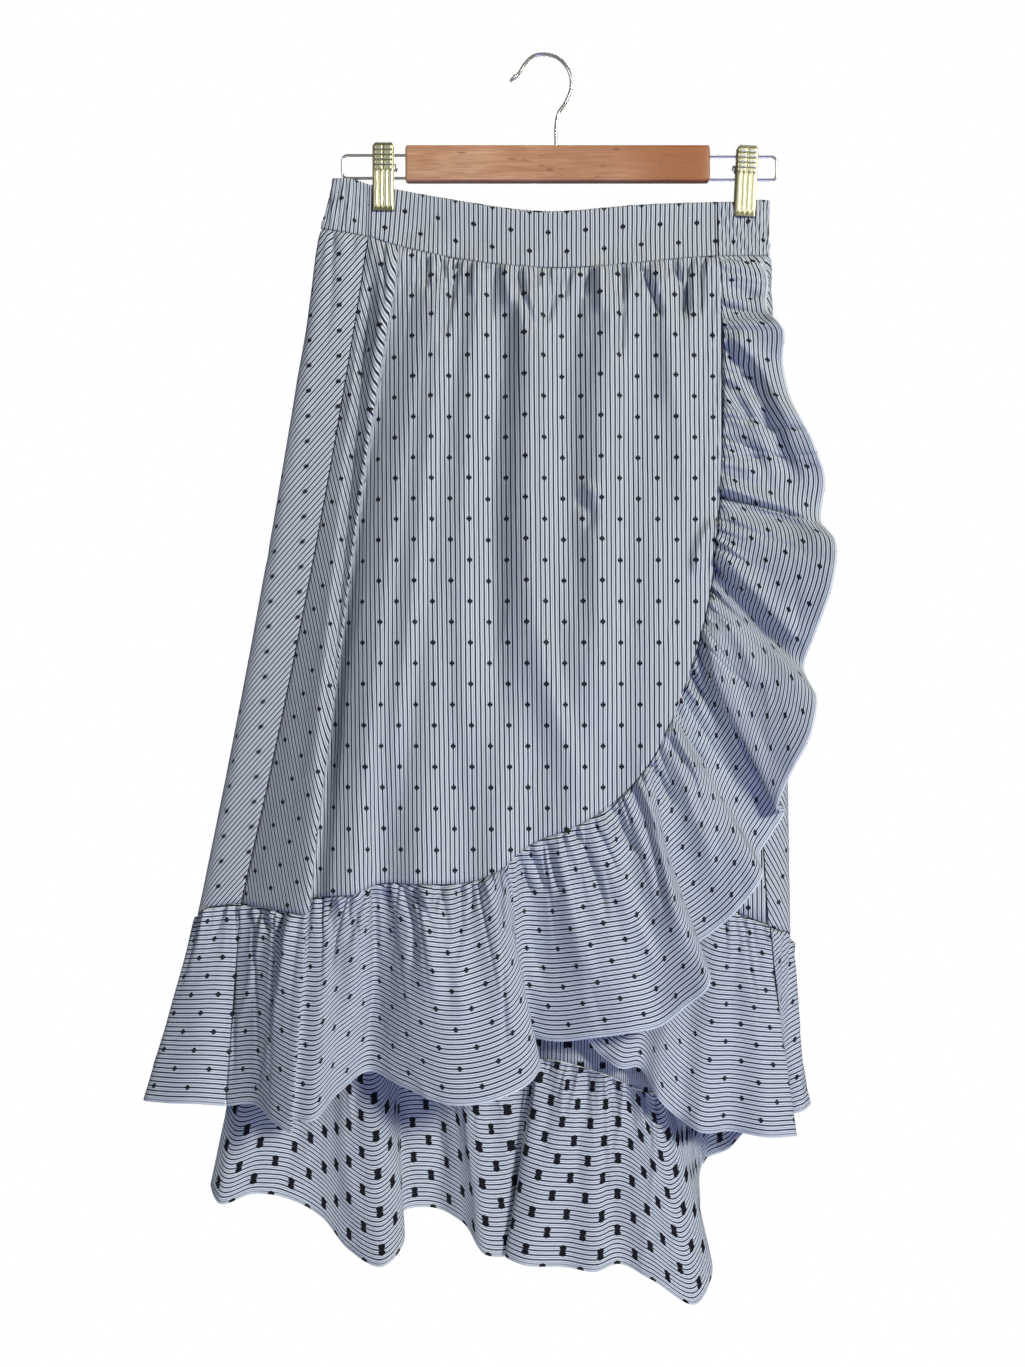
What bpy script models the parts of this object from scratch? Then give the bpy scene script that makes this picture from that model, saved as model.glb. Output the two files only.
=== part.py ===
"""Ruffle midi skirt with a wrapped front, held by two clips of a wooden hanger.

The skirt hangs flat. Its front is cut in two layers that cross: the front panel lies over the
under panel, and a gathered ruffle runs along the hem and up the curved edge to the waistband. The
back is longer than the front, so the inside of its ruffle shows below.

Places across and down the garment are read on a chart: a straight front view in which the hanger
is CHART_SPAN units wide. Depths and thicknesses are in millimetres. The model is in metres, +Z up,
its front faces -Y and its origin is the top of the hook's inside.
"""

import math

import bmesh
import bpy
import numpy as np

MM = 0.001

# The hanger sets the scale: a 14 inch clip hanger, and the same width on the chart.
HANGER_WIDTH = 360.0
CHART_SPAN = 435.0
CHART_SCALE = HANGER_WIDTH / CHART_SPAN
CHART_ORIGIN = (544.4, 56.5)
CHART_CENTRE = (512.5, 683.5)
EYE_DISTANCE = 1600.0

CLOTH = 1.2
BAND_WALL = 2.0
ELASTIC_WALL = 1.6
SEAM_GAP = 0.5
UNDERLAP = 2.6

FRONT_GATHERS = 16
BACK_GATHERS = 17
ELASTIC_GATHERS = 27
FRONT_RUFFLE_GATHERS = 44
BACK_RUFFLE_GATHERS = 30
UNDER_RUFFLE_GATHERS = 16
COLUMNS_PER_GATHER = 4
GATHER_DEPTH = 2.1
ELASTIC_DEPTH = 0.5

# The clips hold the band flat down to BAND_MIDDLE of its height, where it has moved only
# BAND_PINCH of the way from its top edge's depth to its seam edge's.
BAND_MIDDLE = 0.55
BAND_PINCH = 0.12

PANEL_ROWS = (0, 0.03, 0.09, 0.2, 0.36, 0.52, 0.68, 0.84, 1)
RUFFLE_ROWS = (0, 0.1, 0.28, 0.6, 1)

# The waistband's flat front, left to right: top edge and seam edge, each chart x, y and depth.
FRONT_BAND = (
    (370.0, 184.6, -2.0, 368.6, 236.1, -4.0),
    (401.6, 190.5, -2.0, 396.4, 244.7, -6.0),
    (446.4, 199.1, -5.0, 446.4, 255.9, -9.5),
    (498.0, 207.7, -8.0, 498.0, 263.7, -12.0),
    (541.0, 212.5, -9.0, 541.0, 267.1, -13.0),
    (591.0, 209.4, -8.0, 591.4, 266.0, -12.5),
    (645.0, 205.0, -5.5, 645.0, 261.5, -11.0),
    (690.0, 203.2, -3.0, 690.0, 257.0, -9.5),
    (716.5, 202.0, -2.2, 717.5, 255.6, -8.5),
)

# The gathered elastic band, from the front's left end round the back to its right end.
BACK_BAND = (
    (369.2, 184.6, -2.0, 367.8, 236.1, -4.0),
    (350.0, 178.6, -2.2, 345.0, 232.0, -4.0),
    (337.0, 178.4, -1.8, 328.0, 229.3, -3.0),
    (333.0, 178.8, 0.4, 321.6, 229.0, 0.6),
    (338.0, 180.4, 2.4, 328.0, 230.5, 4.2),
    (372.0, 186.0, 2.3, 366.0, 237.0, 6.0),
    (402.0, 191.0, 2.3, 398.0, 246.0, 8.0),
    (446.0, 198.5, 6.0, 446.0, 256.5, 12.0),
    (541.0, 211.0, 10.0, 541.0, 267.0, 15.0),
    (645.0, 204.5, 7.0, 645.0, 262.0, 13.0),
    (700.0, 202.5, 3.5, 700.0, 257.2, 10.0),
    (747.0, 201.6, 2.2, 747.0, 255.6, 6.0),
    (763.0, 200.0, 2.3, 762.5, 255.4, 3.6),
    (769.3, 200.8, 0.2, 769.0, 255.4, 0.0),
    (763.0, 200.0, -1.9, 762.5, 255.4, -3.4),
    (745.0, 201.8, -2.0, 745.0, 255.4, -5.2),
    (717.3, 202.0, -2.2, 718.4, 255.5, -6.6),
)

# Each row of a panel is a fold line: where it leaves the band, in mm along the band's seam edge,
# its lower end (chart x, y, depth), and how far its middle stands off the straight line (x, depth).
FRONT_PANEL = (
    (0.0, 241.6, 903.0, -8.0, 5.5, 0.0),
    (12.0, 265.0, 908.0, -27.0, 3.0, -1.0),
    (25.0, 308.5, 913.0, -49.0, -4.0, -3.0),
    (27.5, 302.0, 907.5, -32.0, -4.0, -2.0),
    (30.5, 311.0, 899.5, -22.0, -5.0, -1.0),
    (41.0, 332.0, 896.0, -35.0, -5.0, -2.0),
    (53.0, 354.0, 894.5, -41.0, -6.0, -3.0),
    (70.0, 378.0, 884.0, -30.0, -8.0, -3.0),
    (88.0, 420.0, 884.2, -45.0, -3.0, -3.0),
    (110.0, 462.0, 883.0, -36.0, 0.0, -3.0),
    (138.0, 497.0, 872.0, -42.0, 2.0, -3.0),
    (162.0, 530.0, 845.0, -35.0, 2.0, -4.0),
    (189.0, 576.0, 826.0, -41.0, 1.0, -4.0),
    (218.0, 615.0, 801.5, -33.0, 0.0, -4.0),
    (242.0, 651.8, 759.3, -37.0, 0.0, -4.0),
    (263.0, 685.3, 684.0, -31.0, 0.0, -4.0),
    (279.0, 708.0, 602.0, -27.0, 1.0, -4.0),
    (293.0, 718.6, 505.0, -23.0, 3.0, -2.0),
)

UNDER_PANEL = (
    (292.0, 767.3, 924.0, -5.0, 2.0, 0.0),
    (277.0, 742.0, 914.0, -8.0, 0.0, 0.0),
    (258.0, 715.0, 898.0, -6.0, 0.0, 0.0),
    (236.0, 690.0, 872.0, -9.0, 0.0, 0.0),
    (210.0, 660.0, 825.0, -6.0, 0.0, 0.0),
    (182.0, 628.0, 750.0, -9.0, 0.0, 0.0),
    (152.0, 592.0, 640.0, -6.0, 0.0, 0.0),
    (120.0, 550.0, 500.0, -8.0, 0.0, 0.0),
    (92.0, 502.0, 360.0, -7.0, 0.0, 0.0),
)

BACK_PANEL = (
    (0.0, 240.4, 903.0, -8.0, 5.5, 0.0),
    (18.0, 222.0, 905.0, -6.0, 4.5, 0.0),
    (33.0, 205.0, 908.5, -2.0, 4.0, 0.0),
    (40.0, 198.0, 914.0, 3.0, 4.0, 1.0),
    (48.0, 208.0, 925.0, 13.0, 4.0, 3.0),
    (76.0, 240.0, 958.0, 24.0, 2.0, 6.0),
    (112.0, 300.0, 1006.0, 20.0, 0.0, 8.0),
    (146.0, 375.0, 1042.0, 14.0, 0.0, 9.0),
    (176.0, 426.0, 1056.0, 34.0, 0.0, 9.0),
    (204.0, 478.0, 1061.0, 22.0, 0.0, 9.0),
    (228.0, 516.0, 1060.0, 29.0, 0.0, 9.0),
    (254.0, 553.0, 1060.0, 13.0, 0.0, 9.0),
    (284.0, 604.0, 1074.0, 12.0, 0.0, 9.0),
    (316.0, 656.0, 1093.0, 16.0, 0.0, 8.0),
    (348.0, 702.0, 1066.0, 32.0, 0.0, 7.0),
    (380.0, 748.0, 1008.0, 33.0, 1.0, 5.0),
    (406.0, 782.0, 950.0, 21.0, 2.0, 3.0),
    (417.0, 790.0, 934.0, 9.0, 3.0, 1.0),
    (434.0, 781.0, 930.5, 0.0, 3.0, 0.0),
    (465.0, 768.6, 926.0, -4.0, 2.0, 0.0),
)

# Each row of a ruffle is a fold line too: its place on the seam (chart x, y), then its place on
# the hem (chart x, y, depth). Neighbouring rows at one x are a fold that turns back on itself.
FRONT_RUFFLE = (
    (242.0, 905.0, 226.0, 1106.0, -12.0),
    (268.0, 908.0, 258.0, 1106.0, -34.0),
    (282.0, 910.0, 272.0, 1121.0, -50.0),
    (306.0, 913.0, 292.0, 1133.5, -62.0),
    (302.0, 908.0, 287.0, 1119.0, -48.0),
    (311.0, 899.5, 293.0, 1119.0, -38.0),
    (322.0, 897.0, 309.0, 1122.0, -42.0),
    (346.0, 895.0, 338.0, 1093.0, -28.0),
    (368.0, 888.0, 366.0, 1072.0, -18.0),
    (395.0, 884.0, 403.0, 1087.0, -40.0),
    (435.0, 884.0, 455.0, 1106.0, -62.0),
    (472.0, 883.0, 508.0, 1096.0, -63.0),
    (488.0, 877.0, 530.0, 1083.0, -58.0),
    (497.0, 872.0, 541.0, 1066.0, -48.0),
    (506.0, 863.0, 529.0, 1042.0, -30.0),
    (514.0, 855.0, 529.0, 1037.0, -20.0),
    (528.0, 847.0, 549.0, 1041.0, -24.0),
    (562.0, 833.0, 598.0, 1037.5, -44.0),
    (586.0, 821.0, 636.0, 1032.5, -51.0),
    (604.0, 809.0, 660.0, 1027.0, -43.0),
    (618.0, 799.0, 684.0, 1009.0, -50.0),
    (632.0, 785.0, 710.0, 984.0, -62.0),
    (640.0, 775.0, 704.0, 955.0, -50.0),
    (648.0, 765.0, 691.0, 948.0, -32.0),
    (655.0, 754.0, 708.0, 936.0, -30.0),
    (664.0, 738.0, 738.0, 910.0, -40.0),
    (671.0, 722.0, 763.0, 873.0, -46.0),
    (677.0, 708.0, 758.0, 858.0, -31.0),
    (685.0, 688.0, 772.0, 834.0, -27.0),
    (692.0, 667.0, 785.0, 812.0, -29.0),
    (698.0, 645.0, 777.0, 811.0, -46.0),
    (702.0, 628.0, 786.0, 784.0, -57.0),
    (707.0, 607.0, 813.0, 728.0, -70.0),
    (709.0, 592.0, 817.0, 702.0, -65.0),
    (712.0, 575.0, 804.0, 666.0, -49.0),
    (714.0, 554.0, 814.0, 637.0, -57.0),
    (717.0, 530.0, 833.0, 583.0, -69.0),
    (719.0, 508.0, 836.5, 543.0, -64.0),
    (720.0, 484.0, 821.0, 521.0, -38.0),
    (721.0, 456.0, 825.0, 478.0, -38.0),
    (722.0, 420.0, 812.0, 439.0, -46.0),
    (722.0, 385.0, 791.0, 400.0, -34.0),
    (722.0, 355.0, 783.0, 361.0, -28.0),
    (721.6, 330.0, 783.0, 328.0, -37.0),
    (721.0, 315.0, 772.0, 314.5, -30.0),
    (720.0, 300.0, 767.0, 304.0, -18.0),
    (719.0, 276.0, 768.0, 278.0, -16.0),
    (718.6, 260.0, 762.0, 264.0, -12.5),
)

UNDER_RUFFLE = (
    (769.0, 926.0, 797.0, 1136.0, -3.0),
    (752.0, 919.0, 768.0, 1137.5, -15.0),
    (732.0, 909.0, 730.0, 1131.0, -4.0),
    (714.0, 897.0, 700.0, 1132.5, -15.0),
    (702.0, 886.0, 681.0, 1120.0, -7.0),
    (684.0, 864.0, 660.0, 1101.0, -15.0),
    (668.0, 838.0, 637.0, 1067.0, -7.0),
    (655.0, 815.0, 622.0, 1069.0, -14.0),
    (640.0, 780.0, 603.0, 1057.0, -8.0),
    (625.0, 740.0, 576.0, 1022.0, -13.0),
    (606.0, 685.0, 536.0, 945.0, -6.0),
    (585.0, 620.0, 505.0, 850.0, -12.0),
    (560.0, 532.0, 474.0, 700.0, -6.0),
    (535.0, 455.0, 450.0, 540.0, -9.0),
    (502.0, 362.0, 438.0, 400.0, -5.0),
    (482.0, 266.0, 440.0, 275.0, -6.0),
)

BACK_RUFFLE = (
    (240.0, 905.0, 225.0, 1106.0, -12.0),
    (227.0, 905.0, 200.0, 1104.0, -16.0),
    (212.0, 907.0, 165.0, 1103.0, -9.0),
    (198.5, 914.0, 143.5, 1100.0, 3.0),
    (204.0, 921.0, 172.0, 1093.0, 21.0),
    (214.0, 931.0, 215.0, 1096.0, 31.0),
    (226.0, 944.0, 256.0, 1124.0, 34.0),
    (240.0, 958.0, 258.0, 1148.0, 27.0),
    (258.0, 974.0, 211.0, 1186.0, 19.0),
    (268.0, 982.0, 219.0, 1203.0, 11.0),
    (287.0, 998.0, 252.0, 1194.0, 15.0),
    (325.0, 1020.0, 322.0, 1217.0, 26.0),
    (348.0, 1031.0, 348.0, 1249.0, 20.0),
    (372.0, 1041.0, 384.0, 1266.0, 9.0),
    (388.0, 1046.0, 404.0, 1242.0, 17.0),
    (400.0, 1050.0, 403.0, 1212.0, 34.0),
    (426.0, 1056.0, 438.0, 1209.0, 46.0),
    (450.0, 1059.0, 462.0, 1222.0, 34.0),
    (470.0, 1061.0, 486.0, 1255.0, 21.0),
    (496.0, 1061.0, 522.0, 1250.0, 31.0),
    (524.0, 1060.0, 518.0, 1246.0, 37.0),
    (543.0, 1059.0, 506.0, 1257.0, 16.0),
    (556.0, 1061.0, 520.0, 1264.0, 8.0),
    (584.0, 1069.0, 566.0, 1267.0, 15.0),
    (604.0, 1074.0, 596.0, 1271.5, 8.0),
    (620.0, 1078.0, 617.0, 1264.0, 15.0),
    (638.0, 1084.0, 650.0, 1279.0, 8.0),
    (656.0, 1093.0, 698.0, 1303.0, 13.0),
    (670.0, 1091.0, 712.0, 1276.0, 22.0),
    (686.0, 1080.0, 700.0, 1205.0, 38.0),
    (704.0, 1064.0, 706.0, 1159.0, 46.0),
    (724.0, 1040.0, 726.0, 1150.0, 36.0),
    (742.0, 1016.0, 750.0, 1128.0, 42.0),
    (764.0, 982.0, 788.0, 1113.0, 28.0),
    (782.0, 950.0, 811.0, 1104.0, 16.0),
    (790.0, 934.0, 803.0, 1110.0, 6.0),
    (780.0, 930.0, 786.0, 1118.0, 4.0),
    (771.0, 926.5, 797.0, 1136.5, 0.5),
)

# The hanger, in chart places and millimetres.
BAR_LEFT, BAR_RIGHT, BAR_TOP, BAR_LOW = 405.6, 709.5, 146.5, 182.5
BAR_DEPTH = 12.0
BAR_ROUND = 2.2
HOOK_WIRE = 3.1
HOOK_STEPS = 34
HOOK = (
    (556.2, 145.6), (556.2, 126.0), (558.4, 114.0), (566.0, 102.0), (571.2, 88.0),
    (570.6, 75.6), (566.0, 65.8), (557.0, 57.4), (545.1, 54.4), (534.0, 56.0),
    (524.5, 64.7), (519.0, 73.6), (511.4, 80.2),
)
RAIL_WIRE = 2.4
RAIL_CORNER = 5.0
RAILS = {
    "left": (BAR_LEFT, 342.5, 155.5, 178.3),
    "right": (BAR_RIGHT, 776.6, 157.0, 180.0),
}
CLIP_WIDTH = 17.5
CLIP_WALL = 1.2
CLIP_ROUND = 3.0
CLIP_STANDOFF = 4.6
CLIP_ROUND_STEPS = 4
CLIPS = {
    "left": ((383.8, 144.3), (383.8, 211.9), 178.3),
    "right": ((747.7, 147.2), (744.2, 217.7), 180.0),
}
PIVOT = (12.0, 6.2, 5.0)


def place(x, y, depth):
    """Millimetre points for chart places at a depth. The chart is a view from EYE_DISTANCE, in
    which nearer cloth looks larger, so its true place is drawn in towards the chart's middle."""
    x, y, depth = (np.asarray(value, float) for value in (x, y, depth))
    near = 1 + depth / EYE_DISTANCE
    across = CHART_CENTRE[0] + (x - CHART_CENTRE[0]) * near - CHART_ORIGIN[0]
    up = CHART_ORIGIN[1] - CHART_CENTRE[1] - (y - CHART_CENTRE[1]) * near
    return np.stack([across * CHART_SCALE, depth, up * CHART_SCALE], axis=-1)


def chart(points):
    """The chart places at which millimetre points are seen: place() turned round."""
    near = 1 + points[..., 1] / EYE_DISTANCE
    across = points[..., 0] / CHART_SCALE + CHART_ORIGIN[0] - CHART_CENTRE[0]
    down = CHART_ORIGIN[1] - CHART_CENTRE[1] - points[..., 2] / CHART_SCALE
    return np.stack([across / near + CHART_CENTRE[0], down / near + CHART_CENTRE[1]], axis=-1)


def smooth(knots, values, at):
    """Values carried through the knots by a cubic between neighbours, whose slope at a knot is
    the mean of the slopes beside it, weighted by nearness."""
    step = np.diff(knots)
    shape = (-1,) + (1,) * (values.ndim - 1)
    wide = step.reshape(shape)
    slope = np.diff(values, axis=0) / wide
    inner = (slope[:-1] * wide[1:] + slope[1:] * wide[:-1]) / (wide[:-1] + wide[1:])
    tangent = np.concatenate([slope[:1], inner, slope[-1:]])
    i = np.clip(np.searchsorted(knots, at, side="right") - 1, 0, len(step) - 1)
    t = ((at - knots[i]) / step[i]).reshape(shape)
    wide = wide[i]
    start = (2 * t**3 - 3 * t**2 + 1) * values[i] + (t**3 - 2 * t**2 + t) * wide * tangent[i]
    end = (3 * t**2 - 2 * t**3) * values[i + 1] + (t**3 - t**2) * wide * tangent[i + 1]
    return start + end


def lengths(points):
    """Length along a line of points, from its first point to each."""
    steps = np.linalg.norm(np.diff(points, axis=0), axis=1)
    return np.concatenate([[0.0], np.cumsum(steps)])


def along(line, stations):
    """Points of a line at lengths along it."""
    measure = lengths(line)
    return np.stack([np.interp(stations, measure, line[:, k]) for k in range(3)], axis=-1)


def unit(vectors):
    return vectors / np.linalg.norm(vectors, axis=-1, keepdims=True)


def facing(grid):
    """The unit normal at each point of a grid of points."""
    across = np.gradient(grid, axis=1)
    down = np.gradient(grid, axis=0)
    return unit(np.cross(down, across))


def swell(fractions, peak):
    """A height that is 0 at the seam, 1 at the fraction named peak, and dies away below it."""
    share = np.asarray(fractions, float) / peak
    return share * np.exp(1 - share)


def gathered(grid, fractions, count, depth, peak):
    """The grid with waves that stand off it below its seam, four columns to a wave."""
    columns = np.arange(grid.shape[1])
    wave = np.sin(2 * math.pi * count * columns / (grid.shape[1] - 1) + math.pi / 4)
    height = depth * swell(fractions, peak)[:, None] * wave[None, :]
    return grid + facing(grid) * height[..., None]


def band(table, gathers, depth):
    """A waistband: its top edge, its middle and its seam edge, with elastic gathers."""
    table = np.array(table)
    top = place(*table[:, 0:3].T)
    low = place(*table[:, 3:6].T)
    knots = lengths((top + low) / 2)
    at = np.linspace(0, knots[-1], max(gathers * COLUMNS_PER_GATHER, 3 * len(table)) + 1)
    top, low = smooth(knots, top, at), smooth(knots, low, at)
    middle = top + (low - top) * BAND_MIDDLE
    middle[:, 1] = top[:, 1] + (low[:, 1] - top[:, 1]) * BAND_PINCH
    grid = np.stack([top, middle, low])
    if gathers:
        wave = np.sin(2 * math.pi * gathers * at / knots[-1])
        grid += facing(grid) * (depth * wave)[None, :, None]
    return grid


def panel(table, top_edge, count, inward=0.0):
    """A panel hung between the band's seam edge and its own lower edge, with folds that deepen
    downwards and waist gathers that die away."""
    waist, low_x, low_y, low_depth, bulge_x, bulge_depth = np.array(table).T
    low = place(low_x, low_y, low_depth)
    bulge = np.stack([bulge_x, bulge_depth, 0 * bulge_x], axis=-1)
    top = along(top_edge, waist)
    knots = lengths((top + low) / 2)
    at = np.linspace(0, knots[-1], count * COLUMNS_PER_GATHER + 1)
    top = along(top_edge, smooth(knots, waist, at)) + (0, inward, -SEAM_GAP)
    low, bulge = smooth(knots, low, at), smooth(knots, bulge, at)
    down = np.array(PANEL_ROWS)[:, None, None]
    grid = top * (1 - down) + low * down + bulge * 4 * down * (1 - down)
    return gathered(grid, PANEL_ROWS, count, GATHER_DEPTH, 0.09)


def wrap_edge(grid):
    """The edge that a ruffle is sewn to: along the bottom, then up the last side."""
    return np.concatenate([grid[-1], grid[-2::-1, -1]])


def seam_stations(edge, x, y):
    """Lengths along an edge nearest to chart places, kept in order."""
    seen = chart(edge)
    measure = lengths(edge)
    stations = []
    first = 0
    for px, py in zip(x, y):
        away = np.hypot(seen[first:, 0] - px, seen[first:, 1] - py)
        first += int(np.argmin(away))
        stations.append(measure[first])
        first = min(first + 1, len(edge) - 2)
    stations[0], stations[-1] = 0.0, measure[-1]
    return np.array(stations)


def ruffle(table, edge, count):
    """A strip from a seam to its hem. The hem's rows set its big folds, straight down the strip,
    and small gathers swell below the seam."""
    seam_x, seam_y, hem_x, hem_y, hem_depth = np.array(table).T
    fine = along(edge, np.linspace(0, lengths(edge)[-1], 20 * len(edge)))
    stations = seam_stations(fine, seam_x, seam_y)
    hem = place(hem_x, hem_y, hem_depth)
    knots = lengths(hem)
    at = np.linspace(0, knots[-1], count * COLUMNS_PER_GATHER + 1)
    station = np.interp(at, knots, stations)
    seam, hem = along(edge, station), smooth(knots, hem, at)
    start = seam + SEAM_GAP * 1.6 * unit(hem - seam)
    down = np.array(RUFFLE_ROWS)[:, None]
    grid = start + (hem - start) * down[..., None]
    return gathered(grid, RUFFLE_ROWS, count, GATHER_DEPTH, 0.16)


def material(name, colour, roughness, metallic=0.0):
    made = bpy.data.materials.new(name)
    made.use_nodes = True
    shader = made.node_tree.nodes["Principled BSDF"]
    shader.inputs["Base Color"].default_value = (*colour, 1.0)
    shader.inputs["Roughness"].default_value = roughness
    shader.inputs["Metallic"].default_value = metallic
    made.diffuse_color = (*colour, 1.0)
    return made


def add(name, data, finish):
    thing = bpy.data.objects.new(name, data)
    skirt.objects.link(thing)
    data.materials.append(finish)
    return thing


def cloth(name, grid, wall, finish):
    """A grid of points made a wall of cloth, half its thickness to each side."""
    rows, columns = grid.shape[:2]
    index = np.arange(rows * columns).reshape(rows, columns)
    corners = (index[:-1, :-1], index[1:, :-1], index[1:, 1:], index[:-1, 1:])
    faces = np.stack(corners, axis=-1).reshape(-1, 4)
    mesh = bpy.data.meshes.new(name)
    mesh.from_pydata((grid.reshape(-1, 3) * MM).tolist(), [], faces.tolist())
    mesh.shade_smooth()
    thing = add(name, mesh, finish)
    wall_modifier = thing.modifiers.new("wall", "SOLIDIFY")
    wall_modifier.thickness = wall * MM
    wall_modifier.offset = 0.0
    return thing


def wire(name, points, diameter, finish, ends=()):
    """A round wire through points; ends scales the last points' thickness."""
    curve = bpy.data.curves.new(name, "CURVE")
    curve.dimensions = "3D"
    curve.bevel_depth = diameter / 2 * MM
    curve.bevel_resolution = 2
    curve.use_fill_caps = True
    spline = curve.splines.new("POLY")
    spline.points.add(len(points) - 1)
    for control, point in zip(spline.points, points):
        control.co = (*(point * MM), 1.0)
    for back, scale in enumerate(ends, start=1):
        spline.points[-back].radius = scale
    return add(name, curve, finish)


def box(name, low, high, finish, rounding=0.0):
    bpy.ops.mesh.primitive_cube_add(size=1.0)
    thing = bpy.context.active_object
    for collection in list(thing.users_collection):
        collection.objects.unlink(thing)
    skirt.objects.link(thing)
    thing.name = thing.data.name = name
    low, high = np.array(low) * MM, np.array(high) * MM
    scale = high - low
    centre = (low + high) / 2
    for vertex in thing.data.vertices:
        vertex.co = [vertex.co[k] * scale[k] for k in range(3)]
    thing.location = centre
    thing.data.materials.append(finish)
    if rounding:
        bevel = thing.modifiers.new("edges", "BEVEL")
        bevel.width = rounding * MM
        bevel.segments = 3
    return thing


def rail_points(side):
    """The wire frame at one end of the bar: out, round two corners and back."""
    inner, outer, top, low = RAILS[side]
    way = 1 if outer > inner else -1
    start = inner + way * 0.5
    turn = outer - way * RAIL_CORNER
    spots = [(start, top), (turn, top)]
    for step in range(1, 4):
        angle = step / 4 * math.pi / 2
        spots.append((turn + way * RAIL_CORNER * math.sin(angle), top + RAIL_CORNER * (1 - math.cos(angle))))
    spots += [(outer, top + RAIL_CORNER), (outer, low - RAIL_CORNER)]
    for step in range(1, 4):
        angle = step / 4 * math.pi / 2
        spots.append((turn + way * RAIL_CORNER * math.cos(angle), low - RAIL_CORNER * (1 - math.sin(angle))))
    spots += [(turn, low), (start, low)]
    spots = np.array(spots)
    return place(spots[:, 0], spots[:, 1], np.zeros(len(spots)))


def clip_outline(length):
    """A clip's jaw seen from the front: a strip with a rounded top, its middle at the origin."""
    half = CLIP_WIDTH / 2
    spots = [(-half, -length / 2), (half, -length / 2)]
    for side in (1, -1):
        for step in range(CLIP_ROUND_STEPS + 1):
            angle = step / CLIP_ROUND_STEPS * math.pi / 2
            if side < 0:
                angle = math.pi / 2 - angle
            x = half - CLIP_ROUND + CLIP_ROUND * math.cos(angle)
            spots.append((side * x, length / 2 - CLIP_ROUND + CLIP_ROUND * math.sin(angle)))
    return spots


def jaw(name, outline, middle, tilt, depth):
    curve = bpy.data.curves.new(name, "CURVE")
    curve.dimensions = "2D"
    curve.fill_mode = "BOTH"
    curve.extrude = CLIP_WALL / 2 * MM
    spline = curve.splines.new("POLY")
    spline.points.add(len(outline) - 1)
    for control, (x, z) in zip(spline.points, outline):
        control.co = (x * MM, z * MM, 0.0, 1.0)
    spline.use_cyclic_u = True
    thing = add(name, curve, chrome)
    thing.rotation_euler = (math.pi / 2, tilt, 0.0)
    thing.location = (middle[0] * MM, depth * MM, middle[2] * MM)


def hanger():
    low = place(BAR_LEFT, BAR_LOW, 0.0)
    high = place(BAR_RIGHT, BAR_TOP, 0.0)
    half = BAR_DEPTH / 2
    box("hanger_bar", (low[0], -half, low[2]), (high[0], half, high[2]), wood, BAR_ROUND)
    path = np.array(HOOK)
    path = place(path[:, 0], path[:, 1], np.zeros(len(path)))
    knots = lengths(path)
    path = smooth(knots, path, np.linspace(0, knots[-1], HOOK_STEPS))
    wire("hanger_hook", path, HOOK_WIRE, chrome, ends=(0.7, 1.25, 1.25))
    for side in RAILS:
        wire(f"hanger_rail_{side}", rail_points(side), RAIL_WIRE, chrome)
    for side, (top, low, rail) in CLIPS.items():
        head, foot = place(*top, 0.0), place(*low, 0.0)
        middle = (head + foot) / 2
        length = np.linalg.norm(head - foot)
        tilt = math.atan2(head[0] - foot[0], head[2] - foot[2])
        outline = clip_outline(length)
        reach = CLIP_STANDOFF + CLIP_WALL / 2
        jaw(f"clip_{side}_front", outline, middle, tilt, -reach)
        jaw(f"clip_{side}_back", outline, middle, tilt, reach)
        seat = place(np.interp(rail, (top[1], low[1]), (top[0], low[0])), rail, 0.0)
        foot_of_pivot = seat[2] + RAIL_WIRE / 2 + 0.3
        wide, deep, tall = PIVOT
        box(
            f"clip_{side}_pivot",
            (seat[0] - wide / 2, -CLIP_STANDOFF + 0.3, foot_of_pivot),
            (seat[0] + wide / 2, CLIP_STANDOFF - 0.3, foot_of_pivot + tall),
            chrome,
        )


def skirt_pieces():
    front_band = band(FRONT_BAND, 0, 0.0)
    back_band = band(BACK_BAND, ELASTIC_GATHERS, ELASTIC_DEPTH)
    plain_back_band = band(BACK_BAND, 0, 0.0)
    front = panel(FRONT_PANEL, front_band[-1], FRONT_GATHERS)
    under = panel(UNDER_PANEL, front_band[-1], 8, inward=UNDERLAP)
    back = panel(BACK_PANEL, plain_back_band[-1], BACK_GATHERS)
    cloth("front_waistband", front_band, BAND_WALL, fabric)
    cloth("back_waistband", back_band, ELASTIC_WALL, fabric)
    cloth("front_panel", front, CLOTH, fabric)
    cloth("under_panel", under, CLOTH, fabric)
    cloth("back_panel", back, CLOTH, fabric)
    front_ruffle = ruffle(FRONT_RUFFLE, wrap_edge(front), FRONT_RUFFLE_GATHERS)
    under_ruffle = ruffle(UNDER_RUFFLE, wrap_edge(under), UNDER_RUFFLE_GATHERS)
    back_ruffle = ruffle(BACK_RUFFLE, back[-1], BACK_RUFFLE_GATHERS)
    cloth("front_ruffle", front_ruffle, CLOTH, fabric)
    cloth("under_ruffle", under_ruffle, CLOTH, fabric)
    cloth("back_ruffle", back_ruffle, CLOTH, fabric)


for old in list(bpy.data.objects):
    bpy.data.objects.remove(old)
skirt = bpy.data.collections.new("ruffle_midi_skirt")
bpy.context.scene.collection.children.link(skirt)
fabric = material("striped_cotton", (0.62, 0.67, 0.78), 0.85)
wood = material("hanger_wood", (0.55, 0.25, 0.11), 0.5)
chrome = material("hanger_chrome", (0.75, 0.74, 0.70), 0.18, 1.0)
skirt_pieces()
hanger()
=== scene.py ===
# %% [markdown]
# # Ruffle midi skirt on a clip hanger
# This lesson dresses a plain model of a hanging skirt. The plain model gives every piece its
# place and size. Here each piece of cloth becomes a thin shell with gathers and creases, and each
# finish becomes a small network of nodes. Read it from top to bottom, one cell at a time.

# %% Load the plain model as a fixed frame
import math

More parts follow.
